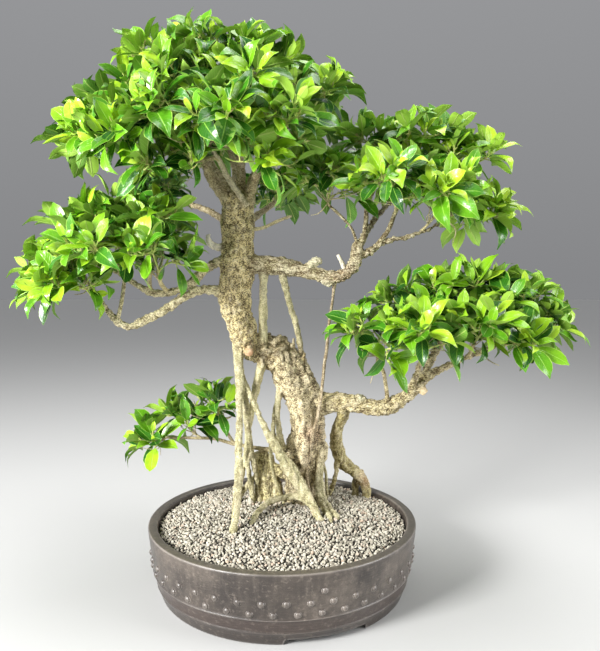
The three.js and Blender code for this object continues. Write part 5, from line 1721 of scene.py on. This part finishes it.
# %% Say which sprays are fresher, older or darker with painted shade, and which are fuller or thinner
USUAL_FRESHNESS = 0.2
FRESHNESS_AND_SHADE = {
    "right_tip": 1.3, "right_top_right": 0.9, "right_front_outer": 0.8, "left_tip": 1.0, "left_low": 0.7,
    "crown_top_left": 0.6, "crown_front_left": 0.5, "crown_far_left": 0.5, "low_right_tip": 0.5,
    "low_left_tip": 0.3, "low_left_middle": 0.0, "low_left_inner": -0.1,
    "low_right_left": 0.0, "low_right_front": 0.3,
    # The rear sprays and the low one at the back of the crown get darker tints as painted shade.
    "rear_left": -0.8, "rear_right": -0.8, "crown_back_low": -0.5,
}
ENDS_PER_MM = 1 / 6.2
FEWEST_ENDS = 3
DENSITY = {"rear": 1.9, "crown_back_low": 1.4, "low_left": 0.75, "low_right": 0.88}

# %% Put the shoots and leaves of a spray together
SHOOT_TINT = 0.4


def spray_parts(name, half_size, draw):
    """Shoots and leaves of a spray: points, faces, materials, leaf places and tints."""
    count = max(FEWEST_ENDS, round(sum(half_size) * ENDS_PER_MM * by_name(DENSITY, name, 1)))
    parts, looks, places, tints = [], [], [], []
    thick = FIRST_SHOOT_THICK
    for line, direction in grow_shoots(TWIGS[name], np.array(half_size, float), count, draw):
        shoot = shoot_tube(line, direction, thick)
        thick = OTHER_SHOOTS_THICK
        parts.append(shoot)
        looks += [STALK] * len(shoot[1])
        places += [(0.5, 0)] * len(shoot[0])
        tints += [SHOOT_TINT] * len(shoot[0])
        for points, tint in rosette(line, direction, draw, FRESHNESS_AND_SHADE.get(name, USUAL_FRESHNESS)):
            parts.append((points, LEAF_FACES))
            looks += LEAF_LOOKS
            places += LEAF_PLACES
            tints += [tint] * len(points)
    points, faces = join_parts(parts)
    return points, faces, looks, places, tints


# %% [markdown]
# ### Leaf finishes
#
# The upper face is glossy, with a waxy skin that mirrors the lamps softly. Its green runs from
# yellowish on young leaves to deep on old ones, lighter along the midrib and the side veins, with
# a thin pale rim. The underside is paler and dull. Stalks and shoots are yellow-green with browner
# spots. Each leaf's age is stored on its points as its tint, darker on the shaded sprays at the rear
# as painted shade, and its length and width places in a map, so that the veins follow the blade.

# %% Find places on a leaf, and its side veins
VEIN_WAVES = 60
VEIN_SLANT = 0.55


def leaf_map(material):
    """How far a place is from the midrib, and how far along the leaf it is."""
    map_place = add_node(material, "ShaderNodeUVMap", uv_map="leaf_map").outputs["UV"]
    parts = add_node(material, "ShaderNodeSeparateXYZ", {"Vector": map_place}).outputs
    from_midrib = times(material, times(material, parts["X"], 0.5, "SUBTRACT"), 0, "ABSOLUTE")
    return from_midrib, parts["Y"]


def side_veins(material, from_midrib, lengthwise):
    """Lines that leave the midrib at a slant, about nine to a side."""
    slanted = times(material, lengthwise, times(material, from_midrib, VEIN_SLANT), "SUBTRACT")
    wave = times(material, times(material, slanted, VEIN_WAVES), 0, "SINE")
    return between(material, wave, 0.72, 1.0)


# %% Mix the glossy upper face
GREENS = ((0.0, (174, 208, 46)), (0.25, (144, 190, 32)), (0.5, (98, 158, 20)), (0.75, (58, 120, 20)),
          (1.0, (28, 78, 20)))

leaf_top, leaf_top_shader = new_material("leaf_upper_face")
top_midrib, top_length = leaf_map(leaf_top)
top_veins = side_veins(leaf_top, top_midrib, top_length)
top_clouds = noise_at(leaf_top, object_place(leaf_top), 70, 3, 0.55)
top_colour = toned_ramp(leaf_top, stored(leaf_top, "tint"), GREENS)
top_colour = layered(leaf_top, top_colour, (
    (top_clouds, 0.45, 0.7, 0.3, (22, 78, 12)),
    (top_veins, 0, 1, 0.14, (126, 186, 60)),
    (top_midrib, 0.04, 0.01, 0.55, (160, 206, 84)),
    (top_midrib, 0.455, 0.49, 0.8, (186, 220, 100)),
))
fill_sockets(leaf_top, leaf_top_shader, {
    "Base Color": top_colour,
    "Roughness": 0.27,
    "Specular IOR Level": 0.5,
    "Coat Weight": 0.08,
    "Coat Roughness": 0.2,
    "Normal": bumps(leaf_top, (
        (top_clouds, 0.003, 0.5),
        (top_veins, 0.0003, 0.35),
        (between(leaf_top, top_midrib, 0, 0.05), 0.0006, 0.6),
    )),
})

# %% Mix the dull underside
leaf_under, leaf_under_shader = new_material("leaf_underside")
under_midrib, under_length = leaf_map(leaf_under)
under_veins = side_veins(leaf_under, under_midrib, under_length)
under_colour = mixed(leaf_under, stored(leaf_under, "tint"), tone(160, 200, 66), tone(88, 138, 44))
under_colour = layered(leaf_under, under_colour, (
    (under_veins, 0, 1, 0.35, (160, 190, 96)),
    (under_midrib, 0.055, 0.02, 0.9, (180, 204, 108)),
))
fill_sockets(leaf_under, leaf_under_shader, {
    "Base Color": under_colour,
    "Roughness": 0.58,
    "Normal": bumps(leaf_under, (
        (under_veins, 0.0004, 0.5),
        (between(leaf_under, under_midrib, 0.06, 0), 0.0008, 0.8),
    )),
})

# %% Mix the skin of stalks and shoots
shoot_skin, shoot_shader = new_material("stalk_and_shoot_skin")
shoot_spots = noise_at(shoot_skin, object_place(shoot_skin), 160, 3, 0.6)
spot_share = between(shoot_skin, shoot_spots, 0.4, 0.62)
fill_sockets(shoot_skin, shoot_shader, {
    "Base Color": mixed(shoot_skin, spot_share, tone(178, 208, 98), tone(186, 180, 112)),
    "Roughness": 0.5,
    "Normal": bumps(shoot_skin, [(shoot_spots, 0.0006, 0.5)]),
})
print("leaf finishes:", leaf_top.name, leaf_under.name, shoot_skin.name)

# %% Make every spray
FIRST_SEED = 7919


def add_spray(number, name, half_size):
    draw = np.random.default_rng(FIRST_SEED + number)
    points, faces, looks, places, tints = spray_parts(name, half_size, draw)
    mesh = make_mesh(name + "_foliage", points, faces)
    for material in (leaf_top, leaf_under, shoot_skin):
        mesh.materials.append(material)
    mesh.polygons.foreach_set("material_index", looks)
    store_values(mesh, "tint", tints)
    corners = np.empty(len(mesh.loops), np.int32)
    mesh.loops.foreach_get("vertex_index", corners)
    leaf_places = mesh.uv_layers.new(name="leaf_map")
    leaf_places.data.foreach_set("uv", np.asarray(places, np.float32)[corners].ravel())
    mesh.set_sharp_from_angle(angle=math.radians(70))
    add_piece(name + "_foliage", mesh, "spray_" + name)
    return len(faces)


foliage_faces = sum(add_spray(number, spray[0], spray[4]) for number, spray in enumerate(SPRAYS))
print("foliage faces:", foliage_faces)
